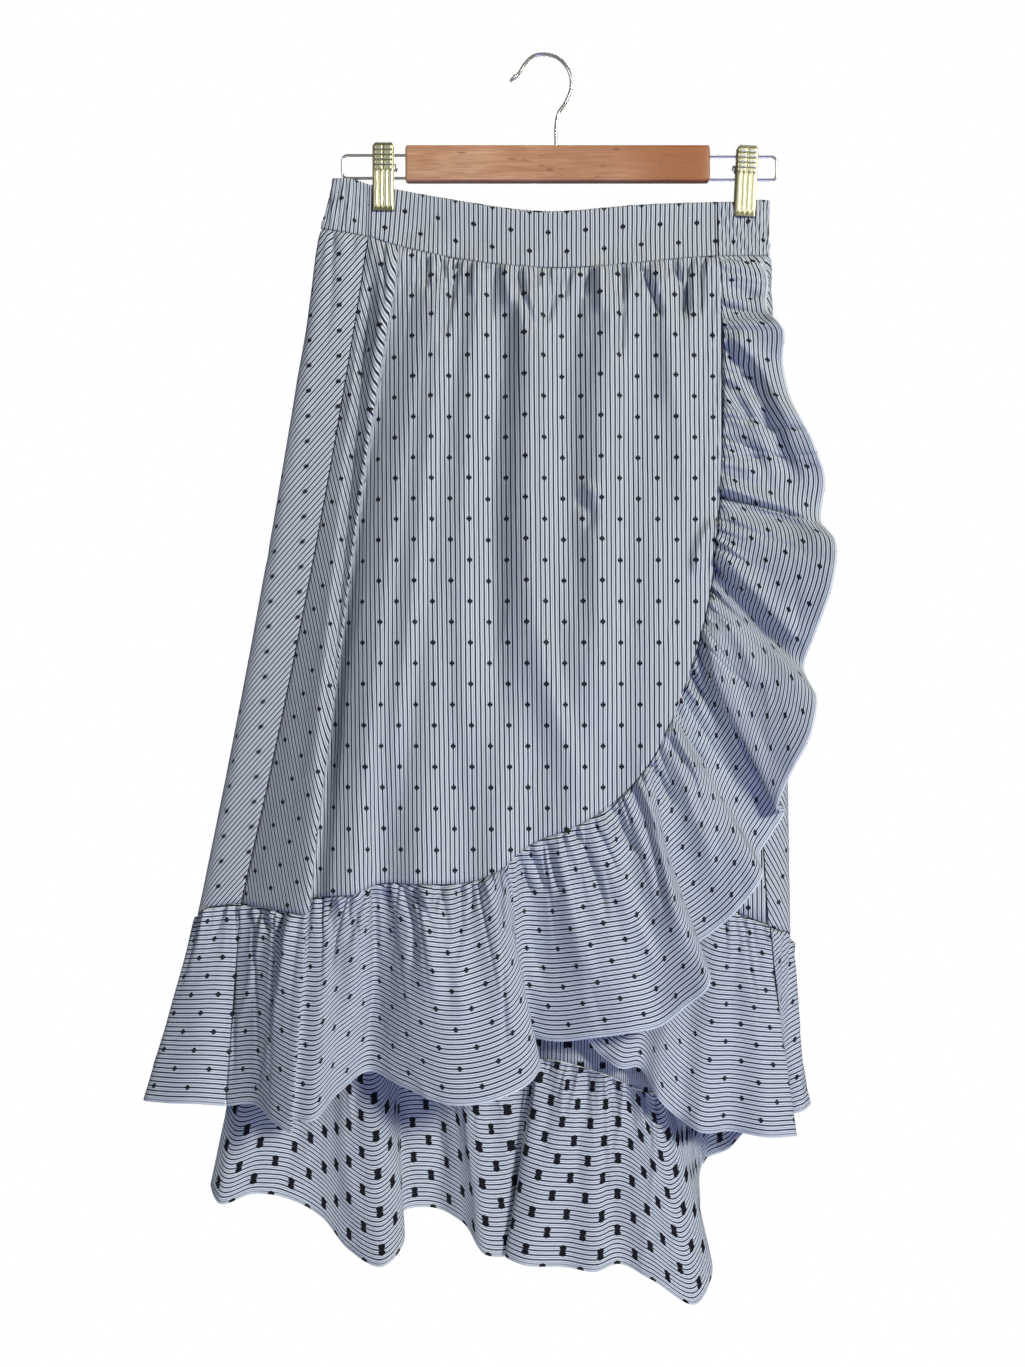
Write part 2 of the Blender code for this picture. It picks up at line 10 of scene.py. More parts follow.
import bpy
import numpy as np
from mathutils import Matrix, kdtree

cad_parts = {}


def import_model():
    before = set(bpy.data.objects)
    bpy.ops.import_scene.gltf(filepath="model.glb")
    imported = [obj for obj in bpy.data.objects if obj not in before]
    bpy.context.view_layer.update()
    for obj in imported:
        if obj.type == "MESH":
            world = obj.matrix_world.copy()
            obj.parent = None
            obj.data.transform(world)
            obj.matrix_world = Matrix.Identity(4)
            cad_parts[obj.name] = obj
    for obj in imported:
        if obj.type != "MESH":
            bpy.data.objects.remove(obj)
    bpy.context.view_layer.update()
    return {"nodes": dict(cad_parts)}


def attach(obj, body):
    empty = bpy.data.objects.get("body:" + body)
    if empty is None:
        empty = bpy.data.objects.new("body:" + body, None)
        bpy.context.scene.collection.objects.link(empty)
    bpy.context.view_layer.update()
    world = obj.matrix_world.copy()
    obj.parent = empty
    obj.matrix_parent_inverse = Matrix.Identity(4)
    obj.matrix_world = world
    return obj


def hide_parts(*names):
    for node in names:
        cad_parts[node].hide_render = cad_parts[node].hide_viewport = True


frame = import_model()
print("nodes:", len(frame["nodes"]))

# %% [markdown]
# ## Sizes
# The hanger is a common 14 inch clip hanger, 360 mm from end to end, and that sets the scale.
# Places across and down the garment are read on a chart, a straight front view in which the
# hanger is 435 units wide. Depths are in millimetres. The front faces -Y, and the origin is the
# top of the inside of the hook.

# %% The chart's scale and the cloth's sizes
MM = 0.001
HANGER_WIDTH = 360.0
CHART_SPAN = 435.0
CHART_SCALE = HANGER_WIDTH / CHART_SPAN
CHART_ORIGIN = (544.4, 56.5)
CHART_CENTRE = (512.5, 683.5)
CHART_HEIGHT = 1367.0
EYE_DISTANCE = 1600.0
COTTON = 0.5
BAND_COTTON = 1.5
SEAM_GAP = 0.25
NO_HEM = 1000.0
UNDERLAP = 2.6
BAND_MIDDLE = 0.55
BAND_PINCH = 0.12

# %% [markdown]
# ## The camera
# The chart is what an eye sees from 1.6 m, level with the chart's middle. So the camera stands
# exactly there, and its lens is worked out from the chart's height, which fills the frame.


# %% From chart places to places in space, and back
def place(x, y, depth):
    """Millimetre points for chart places at a depth: nearer cloth looks larger, so its true place
    is drawn in towards the chart's middle by depth over eye distance."""
    x, y, depth = (np.asarray(value, float) for value in (x, y, depth))
    near = 1 + depth / EYE_DISTANCE
    across = CHART_CENTRE[0] + (x - CHART_CENTRE[0]) * near - CHART_ORIGIN[0]
    up = CHART_ORIGIN[1] - CHART_CENTRE[1] - (y - CHART_CENTRE[1]) * near
    return np.stack([across * CHART_SCALE, depth, up * CHART_SCALE], axis=-1)


def chart(points):
    """The chart places at which millimetre points are seen: place() turned round."""
    near = 1 + points[..., 1] / EYE_DISTANCE
    across = points[..., 0] / CHART_SCALE + CHART_ORIGIN[0] - CHART_CENTRE[0]
    down = CHART_ORIGIN[1] - CHART_CENTRE[1] - points[..., 2] / CHART_SCALE
    return np.stack([across / near + CHART_CENTRE[0], down / near + CHART_CENTRE[1]], axis=-1)


# %% The camera stands at the chart's eye
eye = place(*CHART_CENTRE, 0.0) - (0.0, EYE_DISTANCE, 0.0)
lens = bpy.data.cameras.new("camera")
lens.sensor_width = 36.0
lens.lens = lens.sensor_width * EYE_DISTANCE / (CHART_HEIGHT * CHART_SCALE)
camera = bpy.data.objects.new("camera", lens)
camera.location = eye * MM
camera.rotation_euler = (math.pi / 2, 0.0, 0.0)
bpy.context.scene.collection.objects.link(camera)
bpy.context.scene.camera = camera
print("lens:", round(lens.lens, 2), "mm")

# %% [markdown]
# ## The fold lines
# A skirt is drawn by its fold lines. Each row below is one of them: where it starts at its seam
# and where it ends. Rows in one place but at different depths are a fold that turns back.

# %% Fold lines and hanger measures
# The waistband's flat front, left to right: top edge and seam edge, each chart x, y and depth.
FRONT_BAND = (
    (370.0, 184.6, -2.0, 368.6, 236.1, -4.0),
    (401.6, 190.5, -2.0, 396.4, 244.7, -6.0),
    (446.4, 199.1, -5.0, 446.4, 255.9, -9.5),
    (498.0, 207.7, -8.0, 498.0, 263.7, -12.0),
    (541.0, 212.5, -9.0, 541.0, 267.1, -13.0),
    (591.0, 209.4, -8.0, 591.4, 266.0, -12.5),
    (645.0, 205.0, -5.5, 645.0, 261.5, -11.0),
    (690.0, 203.2, -3.0, 690.0, 257.0, -9.5),
    (716.5, 202.0, -2.2, 717.5, 255.6, -8.5),
)

# The gathered elastic band, from the front's left end round the back to its right end.
BACK_BAND = (
    (369.2, 184.6, -2.0, 367.8, 236.1, -4.0),
    (350.0, 178.6, -2.2, 345.0, 232.0, -4.0),
    (337.0, 178.4, -1.8, 328.0, 229.3, -3.0),
    (333.0, 178.8, 0.4, 321.6, 229.0, 0.6),
    (338.0, 180.4, 2.4, 328.0, 230.5, 4.2),
    (372.0, 186.0, 2.3, 366.0, 237.0, 6.0),
    (402.0, 191.0, 2.3, 398.0, 246.0, 8.0),
    (446.0, 198.5, 6.0, 446.0, 256.5, 12.0),
    (541.0, 211.0, 10.0, 541.0, 267.0, 15.0),
    (645.0, 204.5, 7.0, 645.0, 262.0, 13.0),
    (700.0, 202.5, 3.5, 700.0, 257.2, 10.0),
    (747.0, 201.6, 2.2, 747.0, 255.6, 6.0),
    (763.0, 200.0, 2.3, 762.5, 255.4, 3.6),
    (769.3, 200.8, 0.2, 769.0, 255.4, 0.0),
    (763.0, 200.0, -1.9, 762.5, 255.4, -3.4),
    (745.0, 201.8, -2.0, 745.0, 255.4, -5.2),
    (717.3, 202.0, -2.2, 718.4, 255.5, -6.6),
)

# Each row of a panel is a fold line: where it leaves the band, in mm along the band's seam edge,
# its lower end (chart x, y, depth), and how far its middle stands off the straight line (x, depth).
FRONT_PANEL = (
    (0.0, 241.6, 903.0, -8.0, 5.5, 0.0),
    (12.0, 265.0, 908.0, -27.0, 3.0, -1.0),
    (25.0, 308.5, 913.0, -49.0, -4.0, -3.0),
    (27.5, 302.0, 907.5, -32.0, -4.0, -2.0),
    (30.5, 311.0, 899.5, -22.0, -5.0, -1.0),
    (41.0, 332.0, 896.0, -35.0, -5.0, -2.0),
    (53.0, 354.0, 894.5, -41.0, -6.0, -3.0),
    (70.0, 378.0, 884.0, -30.0, -8.0, -3.0),
    (88.0, 420.0, 884.2, -45.0, -3.0, -3.0),
    (110.0, 462.0, 883.0, -36.0, 0.0, -3.0),
    (138.0, 497.0, 872.0, -42.0, 2.0, -3.0),
    (162.0, 530.0, 845.0, -35.0, 2.0, -4.0),
    (189.0, 576.0, 826.0, -41.0, 1.0, -4.0),
    (218.0, 615.0, 801.5, -33.0, 0.0, -4.0),
    (242.0, 651.8, 759.3, -37.0, 0.0, -4.0),
    (263.0, 685.3, 684.0, -31.0, 0.0, -4.0),
    (279.0, 708.0, 602.0, -27.0, 1.0, -4.0),
    (293.0, 718.6, 505.0, -23.0, 3.0, -2.0),
)

UNDER_PANEL = (
    (292.0, 767.3, 924.0, -5.0, 2.0, 0.0),
    (277.0, 742.0, 914.0, -8.0, 0.0, 0.0),
    (258.0, 715.0, 898.0, -6.0, 0.0, 0.0),
    (236.0, 690.0, 872.0, -9.0, 0.0, 0.0),
    (210.0, 660.0, 825.0, -6.0, 0.0, 0.0),
    (182.0, 628.0, 750.0, -9.0, 0.0, 0.0),
    (152.0, 592.0, 640.0, -6.0, 0.0, 0.0),
    (120.0, 550.0, 500.0, -8.0, 0.0, 0.0),
    (92.0, 502.0, 360.0, -7.0, 0.0, 0.0),
)

BACK_PANEL = (
    (0.0, 240.4, 903.0, -8.0, 5.5, 0.0),
    (18.0, 222.0, 905.0, -6.0, 4.5, 0.0),
    (33.0, 205.0, 908.5, -2.0, 4.0, 0.0),
    (40.0, 198.0, 914.0, 3.0, 4.0, 1.0),
    (48.0, 208.0, 925.0, 13.0, 4.0, 3.0),
    (76.0, 240.0, 958.0, 24.0, 2.0, 6.0),
    (112.0, 300.0, 1006.0, 20.0, 0.0, 8.0),
    (146.0, 375.0, 1042.0, 14.0, 0.0, 9.0),
    (176.0, 426.0, 1056.0, 34.0, 0.0, 9.0),
    (204.0, 478.0, 1061.0, 22.0, 0.0, 9.0),
    (228.0, 516.0, 1060.0, 29.0, 0.0, 9.0),
    (254.0, 553.0, 1060.0, 13.0, 0.0, 9.0),
    (284.0, 604.0, 1074.0, 12.0, 0.0, 9.0),
    (316.0, 656.0, 1093.0, 16.0, 0.0, 8.0),
    (348.0, 702.0, 1066.0, 32.0, 0.0, 7.0),
    (380.0, 748.0, 1008.0, 33.0, 1.0, 5.0),
    (406.0, 782.0, 950.0, 21.0, 2.0, 3.0),
    (417.0, 790.0, 934.0, 9.0, 3.0, 1.0),
    (434.0, 781.0, 930.5, 0.0, 3.0, 0.0),
    (465.0, 768.6, 926.0, -4.0, 2.0, 0.0),
)

# Each row of a ruffle is a fold line too: its place on the seam (chart x, y), then its place on
# the hem (chart x, y, depth). Neighbouring rows at one x are a fold that turns back on itself.
FRONT_RUFFLE = (
    (242.0, 905.0, 226.0, 1106.0, -12.0),
    (268.0, 908.0, 258.0, 1106.0, -34.0),
    (282.0, 910.0, 272.0, 1121.0, -50.0),
    (306.0, 913.0, 292.0, 1133.5, -62.0),
    (302.0, 908.0, 287.0, 1119.0, -48.0),
    (311.0, 899.5, 293.0, 1119.0, -38.0),
    (322.0, 897.0, 309.0, 1122.0, -42.0),
    (346.0, 895.0, 338.0, 1093.0, -28.0),
    (368.0, 888.0, 366.0, 1072.0, -18.0),
    (395.0, 884.0, 403.0, 1087.0, -40.0),
    (435.0, 884.0, 455.0, 1106.0, -62.0),
    (472.0, 883.0, 508.0, 1096.0, -63.0),
    (488.0, 877.0, 530.0, 1083.0, -58.0),
    (497.0, 872.0, 541.0, 1066.0, -48.0),
    (506.0, 863.0, 529.0, 1042.0, -30.0),
    (514.0, 855.0, 529.0, 1037.0, -20.0),
    (528.0, 847.0, 549.0, 1041.0, -24.0),
    (562.0, 833.0, 598.0, 1037.5, -44.0),
    (586.0, 821.0, 636.0, 1032.5, -51.0),
    (604.0, 809.0, 660.0, 1027.0, -43.0),
    (618.0, 799.0, 684.0, 1009.0, -50.0),
    (632.0, 785.0, 710.0, 984.0, -62.0),
    (640.0, 775.0, 704.0, 955.0, -50.0),
    (648.0, 765.0, 691.0, 948.0, -32.0),
    (655.0, 754.0, 708.0, 936.0, -30.0),
    (664.0, 738.0, 738.0, 910.0, -40.0),
    (671.0, 722.0, 763.0, 873.0, -46.0),
    (677.0, 708.0, 758.0, 858.0, -31.0),
    (685.0, 688.0, 772.0, 834.0, -27.0),
    (692.0, 667.0, 785.0, 812.0, -29.0),
    (698.0, 645.0, 777.0, 811.0, -46.0),
    (702.0, 628.0, 786.0, 784.0, -57.0),
    (707.0, 607.0, 813.0, 728.0, -70.0),
    (709.0, 592.0, 817.0, 702.0, -65.0),
    (712.0, 575.0, 804.0, 666.0, -49.0),
    (714.0, 554.0, 814.0, 637.0, -57.0),
    (717.0, 530.0, 833.0, 583.0, -69.0),
    (719.0, 508.0, 836.5, 543.0, -64.0),
    (720.0, 484.0, 821.0, 521.0, -38.0),
    (721.0, 456.0, 825.0, 478.0, -38.0),
    (722.0, 420.0, 812.0, 439.0, -46.0),
    (722.0, 385.0, 791.0, 400.0, -34.0),
    (722.0, 355.0, 783.0, 361.0, -28.0),
    (721.6, 330.0, 783.0, 328.0, -37.0),
    (721.0, 315.0, 772.0, 314.5, -30.0),
    (720.0, 300.0, 767.0, 304.0, -18.0),
    (719.0, 276.0, 768.0, 278.0, -16.0),
    (718.6, 260.0, 762.0, 264.0, -12.5),
)

UNDER_RUFFLE = (
    (769.0, 926.0, 797.0, 1136.0, -3.0),
    (752.0, 919.0, 768.0, 1137.5, -15.0),
    (732.0, 909.0, 730.0, 1131.0, -4.0),
    (714.0, 897.0, 700.0, 1132.5, -15.0),
    (702.0, 886.0, 681.0, 1120.0, -7.0),
    (684.0, 864.0, 660.0, 1101.0, -15.0),
    (668.0, 838.0, 637.0, 1067.0, -7.0),
    (655.0, 815.0, 622.0, 1069.0, -14.0),
    (640.0, 780.0, 603.0, 1057.0, -8.0),
    (625.0, 740.0, 576.0, 1022.0, -13.0),
    (606.0, 685.0, 536.0, 945.0, -6.0),
    (585.0, 620.0, 505.0, 850.0, -12.0),
    (560.0, 532.0, 474.0, 700.0, -6.0),
    (535.0, 455.0, 450.0, 540.0, -9.0),
    (502.0, 362.0, 438.0, 400.0, -5.0),
    (482.0, 266.0, 440.0, 275.0, -6.0),
)

BACK_RUFFLE = (
    (240.0, 905.0, 225.0, 1106.0, -12.0),
    (227.0, 905.0, 200.0, 1104.0, -16.0),
    (212.0, 907.0, 165.0, 1103.0, -9.0),
    (198.5, 914.0, 143.5, 1100.0, 3.0),
    (204.0, 921.0, 172.0, 1093.0, 21.0),
    (214.0, 931.0, 215.0, 1096.0, 31.0),
    (226.0, 944.0, 256.0, 1124.0, 34.0),
    (240.0, 958.0, 258.0, 1148.0, 27.0),
    (258.0, 974.0, 211.0, 1186.0, 19.0),
    (268.0, 982.0, 219.0, 1203.0, 11.0),
    (287.0, 998.0, 252.0, 1194.0, 15.0),
    (325.0, 1020.0, 322.0, 1217.0, 26.0),
    (348.0, 1031.0, 348.0, 1249.0, 20.0),
    (372.0, 1041.0, 384.0, 1266.0, 9.0),
    (388.0, 1046.0, 404.0, 1242.0, 17.0),
    (400.0, 1050.0, 403.0, 1212.0, 34.0),
    (426.0, 1056.0, 438.0, 1209.0, 46.0),
    (450.0, 1059.0, 462.0, 1222.0, 34.0),
    (470.0, 1061.0, 486.0, 1255.0, 21.0),
    (496.0, 1061.0, 522.0, 1250.0, 31.0),
    (524.0, 1060.0, 518.0, 1246.0, 37.0),
    (543.0, 1059.0, 506.0, 1257.0, 16.0),
    (556.0, 1061.0, 520.0, 1264.0, 8.0),
    (584.0, 1069.0, 566.0, 1267.0, 15.0),
    (604.0, 1074.0, 596.0, 1271.5, 8.0),
    (620.0, 1078.0, 617.0, 1264.0, 15.0),
    (638.0, 1084.0, 650.0, 1279.0, 8.0),
    (656.0, 1093.0, 698.0, 1303.0, 13.0),
    (670.0, 1091.0, 712.0, 1276.0, 22.0),
    (686.0, 1080.0, 700.0, 1205.0, 38.0),
    (704.0, 1064.0, 706.0, 1159.0, 46.0),
    (724.0, 1040.0, 726.0, 1150.0, 36.0),
    (742.0, 1016.0, 750.0, 1128.0, 42.0),
    (764.0, 982.0, 788.0, 1113.0, 28.0),
    (782.0, 950.0, 811.0, 1104.0, 16.0),
    (790.0, 934.0, 803.0, 1110.0, 6.0),
    (780.0, 930.0, 786.0, 1118.0, 4.0),
    (771.0, 926.5, 797.0, 1136.5, 0.5),
)

# The hanger, in chart places and millimetres.
BAR_LEFT, BAR_RIGHT, BAR_TOP, BAR_LOW = 405.6, 709.5, 146.5, 182.5
BAR_DEPTH = 12.0
BAR_ROUND = 2.2
HOOK_WIRE = 3.1
HOOK = (
    (556.2, 145.6), (556.2, 126.0), (558.4, 114.0), (566.0, 102.0), (571.2, 88.0),
    (570.6, 75.6), (566.0, 65.8), (557.0, 57.4), (545.1, 54.4), (534.0, 56.0),
    (524.5, 64.7), (519.0, 73.6), (511.4, 80.2),
)
RAIL_WIRE = 2.4
RAIL_CORNER = 5.0
RAILS = {
    "left": (BAR_LEFT, 342.5, 155.5, 178.3),
    "right": (BAR_RIGHT, 776.6, 157.0, 180.0),
}
CLIP_WIDTH = 17.5
CLIP_WALL = 1.2
CLIP_ROUND = 3.0
CLIP_STANDOFF = 4.6
PLATE = 0.9
CLIPS = {
    "left": ((383.8, 144.3), (383.8, 211.9), 178.3),
    "right": ((747.7, 147.2), (744.2, 217.7), 180.0),
}

# %% [markdown]
# ## Cloth as a grid of points
# A hanging skirt is made of fold lines that run from the waist to the hem. Each table above
# gives those lines. A curve is passed through their ends, which makes a smooth grid, and then
# small gathers and listed creases are added to it. Everything is worked out on whole arrays.


# %% Curves through a table's rows
def smooth(knots, values, at):
    """Values carried through the knots by a cubic between neighbours, whose slope at a knot is
    the mean of the slopes beside it, weighted by nearness."""
    step = np.diff(knots)
    shape = (-1,) + (1,) * (values.ndim - 1)
    wide = step.reshape(shape)
    slope = np.diff(values, axis=0) / wide
    inner = (slope[:-1] * wide[1:] + slope[1:] * wide[:-1]) / (wide[:-1] + wide[1:])
    tangent = np.concatenate([slope[:1], inner, slope[-1:]])
    i = np.clip(np.searchsorted(knots, at, side="right") - 1, 0, len(step) - 1)
    t = ((at - knots[i]) / step[i]).reshape(shape)
    wide = wide[i]
    start = (2 * t**3 - 3 * t**2 + 1) * values[i] + (t**3 - 2 * t**2 + t) * wide * tangent[i]
    end = (3 * t**2 - 2 * t**3) * values[i + 1] + (t**3 - t**2) * wide * tangent[i + 1]
    return start + end


def lengths(points):
    """Length along a line of points, from its first point to each."""
    steps = np.linalg.norm(np.diff(points, axis=0), axis=1)
    return np.concatenate([[0.0], np.cumsum(steps)])


def along(line, stations):
    """Points of a line at lengths along it."""
    measure = lengths(line)
    return np.stack([np.interp(stations, measure, line[:, k]) for k in range(3)], axis=-1)


def unit(vectors):
    """Each vector divided by its length, and one with no length left as it is."""
    return vectors / np.maximum(np.linalg.norm(vectors, axis=-1, keepdims=True), 1e-9)


def facing(grid):
    """The unit normal at each point: the way down the grid crossed with the way across it."""
    return unit(np.cross(np.gradient(grid, axis=0), np.gradient(grid, axis=1)))


def running_sum(steps):
    """The sum of the steps along each row, from 0 at its start."""
    return np.concatenate([np.zeros((len(steps), 1)), np.cumsum(steps, axis=1)], axis=1)


def from_left(grid):
    """Length across each row of a grid, from its first column to each."""
    steps = np.linalg.norm(np.diff(grid, axis=1), axis=2)
    return running_sum(steps)


def from_top(grid):
    """Length down each column of a grid, from its first row to each."""
    steps = np.linalg.norm(np.diff(grid, axis=0), axis=2)
    return np.concatenate([np.zeros((1, grid.shape[1])), np.cumsum(steps, axis=0)], axis=0)


# %% [markdown]
# ## Gathers and creases
# Where cloth is gathered into a seam it stands up in small, uneven ridges, which start at the
# seam and die away at different lengths. Longer soft creases are listed one by one, because they
# give this skirt its own look. Random draws are seeded, so each run makes the same skirt.


# %% Small gathers below a seam
def puckers(across, below, spacing, height, reach, seed, narrow=0.22, broad=0.34):
    """A sum of ridges. Each is a bell across the seam, centred on its own place, and fades as
    exp(-(distance below / its own reach) ^ 1.3). Places, heights and reaches vary by draw. A
    ridge's half width lies between the narrow and the broad share of the spacing."""
    draw = np.random.default_rng(seed)
    ridges = int(across.max() / spacing) + 2
    centre = (np.arange(ridges) + draw.uniform(-0.4, 0.4, ridges)) * spacing
    tall = height * draw.uniform(0.35, 1.5, ridges)
    long = reach * draw.uniform(0.5, 1.7, ridges)
    wide = spacing * draw.uniform(narrow, broad, ridges)
    drift = draw.normal(0.0, 0.1, ridges)
    total = np.zeros(np.broadcast(across, below).shape)
    for i in range(ridges):
        away = (across - centre[i] - drift[i] * below) / wide[i]
        rise = 0.15 + 0.85 * np.clip(below / 3.0, 0, 1)
        total += tall[i] * np.exp(-(away**2)) * rise * np.exp(-((below / long[i]) ** 1.3))
    return total - 0.5 * height * np.exp(-((below / reach) ** 1.3))


# %% Rumples strewn over the cloth
def rumpled(grid, spacing, height, seed):
    """The grid with short, soft creases strewn over it. Each is a bell across its own slightly
    leaning line, and fades towards both ends of that line."""
    draw = np.random.default_rng(seed)
    across, below = from_left(grid), from_top(grid)
    across = across - across.mean(axis=1, keepdims=True)
    half_wide, deep = across.max(), below.max()
    rise = np.zeros(across.shape)
    for _ in range(int(2 * half_wide * deep / spacing**2)):
        to_side = across - draw.uniform(-half_wide, half_wide)
        to_foot = below - draw.uniform(0, deep)
        lean = draw.normal(0.0, 0.4)
        off = (to_side * math.cos(lean) - to_foot * math.sin(lean)) / (spacing * draw.uniform(0.07, 0.16))
        run = (to_side * math.sin(lean) + to_foot * math.cos(lean)) / (spacing * draw.uniform(0.35, 0.9))
        rise += height * draw.normal(0.0, 1.0) * np.exp(-(off**2) - run**2)
    rise *= np.clip(below / spacing, 0.3, 1)
    return grid + facing(grid) * rise[..., None]


# %% Creases listed one by one
CREASE_STEPS = 12


def crease_height(seen, spots, depth, left, right):
    """Height towards the viewer of one crease, whose line runs through chart spots. It is a bell
    across the line, with its own width to each side, and it fades in and out along the line."""
    spots = np.array(spots, float)
    run = lengths(spots)
    spots = smooth(run, spots, np.linspace(0, run[-1], CREASE_STEPS))
    run = lengths(spots)
    best = np.full(seen.shape[:2], np.inf)
    side = np.zeros(seen.shape[:2])
    place_along = np.zeros(seen.shape[:2])
    for i in range(len(spots) - 1):
        way = spots[i + 1] - spots[i]
        size = np.hypot(*way)
        offset = seen - spots[i]
        t = np.clip((offset @ way) / size**2, 0, 1)
        gap = offset - t[..., None] * way
        away = np.hypot(gap[..., 0], gap[..., 1])
        nearer = away < best
        turn = way[0] * offset[..., 1] - way[1] * offset[..., 0]
        side = np.where(nearer, turn, side)
        place_along = np.where(nearer, run[i] + t * size, place_along)
        best = np.minimum(best, away)
    share = place_along / run[-1]
    fade = np.clip(np.minimum(0.25 + share / 0.12, (1 - share) / 0.3), 0, 1)
    fade = fade * fade * (3 - 2 * fade)
    width = np.where(side > 0, left, right)
    return depth * fade * np.exp(-((best / width) ** 2))


def creased(grid, creases, gain=1.0):
    """The grid with its listed creases: a positive depth stands towards the viewer, and the
    gain makes them all that many times deeper."""
    seen = chart(grid)
    rise = gain * sum(crease_height(seen, *crease) for crease in creases)
    return grid + np.stack([0 * rise, -rise, 0 * rise], axis=-1)


# %% [markdown]
# ## Making the shell
# A grid becomes a mesh of four-cornered faces. Its UV map holds flat cloth measures in metres, so
# stripes and dots keep their real size however the cloth folds. The `edges` attribute holds the
# distance to the hem, the distance to the seam and how crowded the cloth is, or on a clip its
# relief. Solidify gives the cloth its thickness, and puts the wrong side's finish on the inside.


# %% A grid of points becomes a thin shell
def shell(name, grid, pattern, edges, finishes, wall=COTTON, turned=False):
    """A cloth piece from a grid. Faces run down then across; turned reverses them, for a piece
    whose columns run the other way round the body."""
    rows, columns = grid.shape[:2]
    index = np.arange(rows * columns).reshape(rows, columns)
    corners = (index[:-1, :-1], index[1:, :-1], index[1:, 1:], index[:-1, 1:])
    faces = np.stack(corners, axis=-1).reshape(-1, 4)
    if turned:
        faces = faces[:, ::-1]
    mesh = bpy.data.meshes.new(name)
    mesh.from_pydata((grid.reshape(-1, 3) * MM).tolist(), [], faces.tolist())
    mesh.shade_smooth()
    flat = (pattern.reshape(-1, 2) * MM)[faces.ravel()]
    mesh.uv_layers.new(name="cloth").data.foreach_set("uv", flat.ravel().astype(np.float32))
    near = mesh.attributes.new("edges", "FLOAT_VECTOR", "POINT")
    near.data.foreach_set("vector", (edges.reshape(-1, 3) * MM).ravel().astype(np.float32))
    piece = bpy.data.objects.new(name, mesh)
    bpy.context.scene.collection.objects.link(piece)
    for finish in finishes:
        mesh.materials.append(finish)
    thick = piece.modifiers.new("thickness", "SOLIDIFY")
    thick.thickness = wall * MM
    thick.offset = 0.0
    thick.material_offset = 1
    area = sum(face.area for face in mesh.polygons)
    print(f"{name}: {2 * len(faces) * 2} triangles, {area:.3f} m2 of cloth")
    return piece


def edge_distances(hem, seam, crowding=1.0):
    """The edges attribute: distance to the hem, distance to the seam, and how much shorter the
    cloth lies than it was cut, so that a dot keeps its shape where the cloth is crowded."""
    return np.stack([hem, seam, (crowding + 0 * seam) / MM], axis=-1)


# %% [markdown]
# ## Finishes
# The cloth is a pale blue cotton with fine navy stripes. Small clipped dots are woven in: on the
# right side each is a diamond of four lozenges, and on the wrong side its cut ends make a dark
# double tuft. A node group draws both from the flat cloth places in the UV map.


# %% Small helpers for node trees
def number(tree, operation, first, second=0.0, third=0.0):
    """A Math node. Its inputs are numbers or sockets, and its output socket is returned."""
    node = tree.nodes.new("ShaderNodeMath")
    node.operation = operation
    for socket, value in zip(node.inputs, (first, second, third)):
        connect(tree, value, socket)
    return node.outputs[0]


def connect(tree, value, socket):
    """Links a socket to another, or sets its value."""
    if isinstance(value, bpy.types.NodeSocket):
        tree.links.new(value, socket)
    else:
        socket.default_value = value


def step_between(tree, value, low, high):
    """0 below low, 1 above high, smooth between: give low above high to turn it round."""
    node = tree.nodes.new("ShaderNodeMapRange")
    node.interpolation_type = "SMOOTHSTEP"
    swap = low > high
    connect(tree, value, node.inputs["Value"])
    node.inputs["From Min"].default_value = min(low, high)
    node.inputs["From Max"].default_value = max(low, high)
    node.inputs["To Min"].default_value = 1.0 if swap else 0.0
    node.inputs["To Max"].default_value = 0.0 if swap else 1.0
    return node.outputs["Result"]


def blend_colour(tree, share, first, second):
    """A Mix node for colours: first where share is 0, second where it is 1."""
    node = tree.nodes.new("ShaderNodeMix")
    node.data_type = "RGBA"
    connect(tree, share, node.inputs[0])
    for socket, value in ((node.inputs[6], first), (node.inputs[7], second)):
        connect(tree, (*value, 1.0) if isinstance(value, tuple) else value, socket)
    return node.outputs[2]


def speckle(tree, vector, scale, detail=2.0):
    """A Noise node's value."""
    node = tree.nodes.new("ShaderNodeTexNoise")
    connect(tree, vector, node.inputs["Vector"])
    node.inputs["Scale"].default_value = scale
    node.inputs["Detail"].default_value = detail
    return node.outputs["Fac"]


def stretched(tree, vector, scale):
    """A vector with each axis multiplied by its own scale."""
    node = tree.nodes.new("ShaderNodeVectorMath")
    node.operation = "MULTIPLY"
    connect(tree, vector, node.inputs[0])
    node.inputs[1].default_value = scale
    return node.outputs[0]


def new_group(name, inputs, outputs):
    """A shader node group with named sockets, and its input and output nodes."""
    group = bpy.data.node_groups.new(name, "ShaderNodeTree")
    for title, kind, value in inputs:
        socket = group.interface.new_socket(title, in_out="INPUT", socket_type=kind)
        if value is not None:
            socket.default_value = value
    for title, kind in outputs:
        group.interface.new_socket(title, in_out="OUTPUT", socket_type=kind)
    return group, group.nodes.new("NodeGroupInput"), group.nodes.new("NodeGroupOutput")


# %% The woven stripes and dots
STRIPE_PITCH = 3.85 * MM
STRIPE_WIDTH = 1.34 * MM
DOT_ACROSS = 4 * STRIPE_PITCH
DOT_ALONG = 33.5 * MM

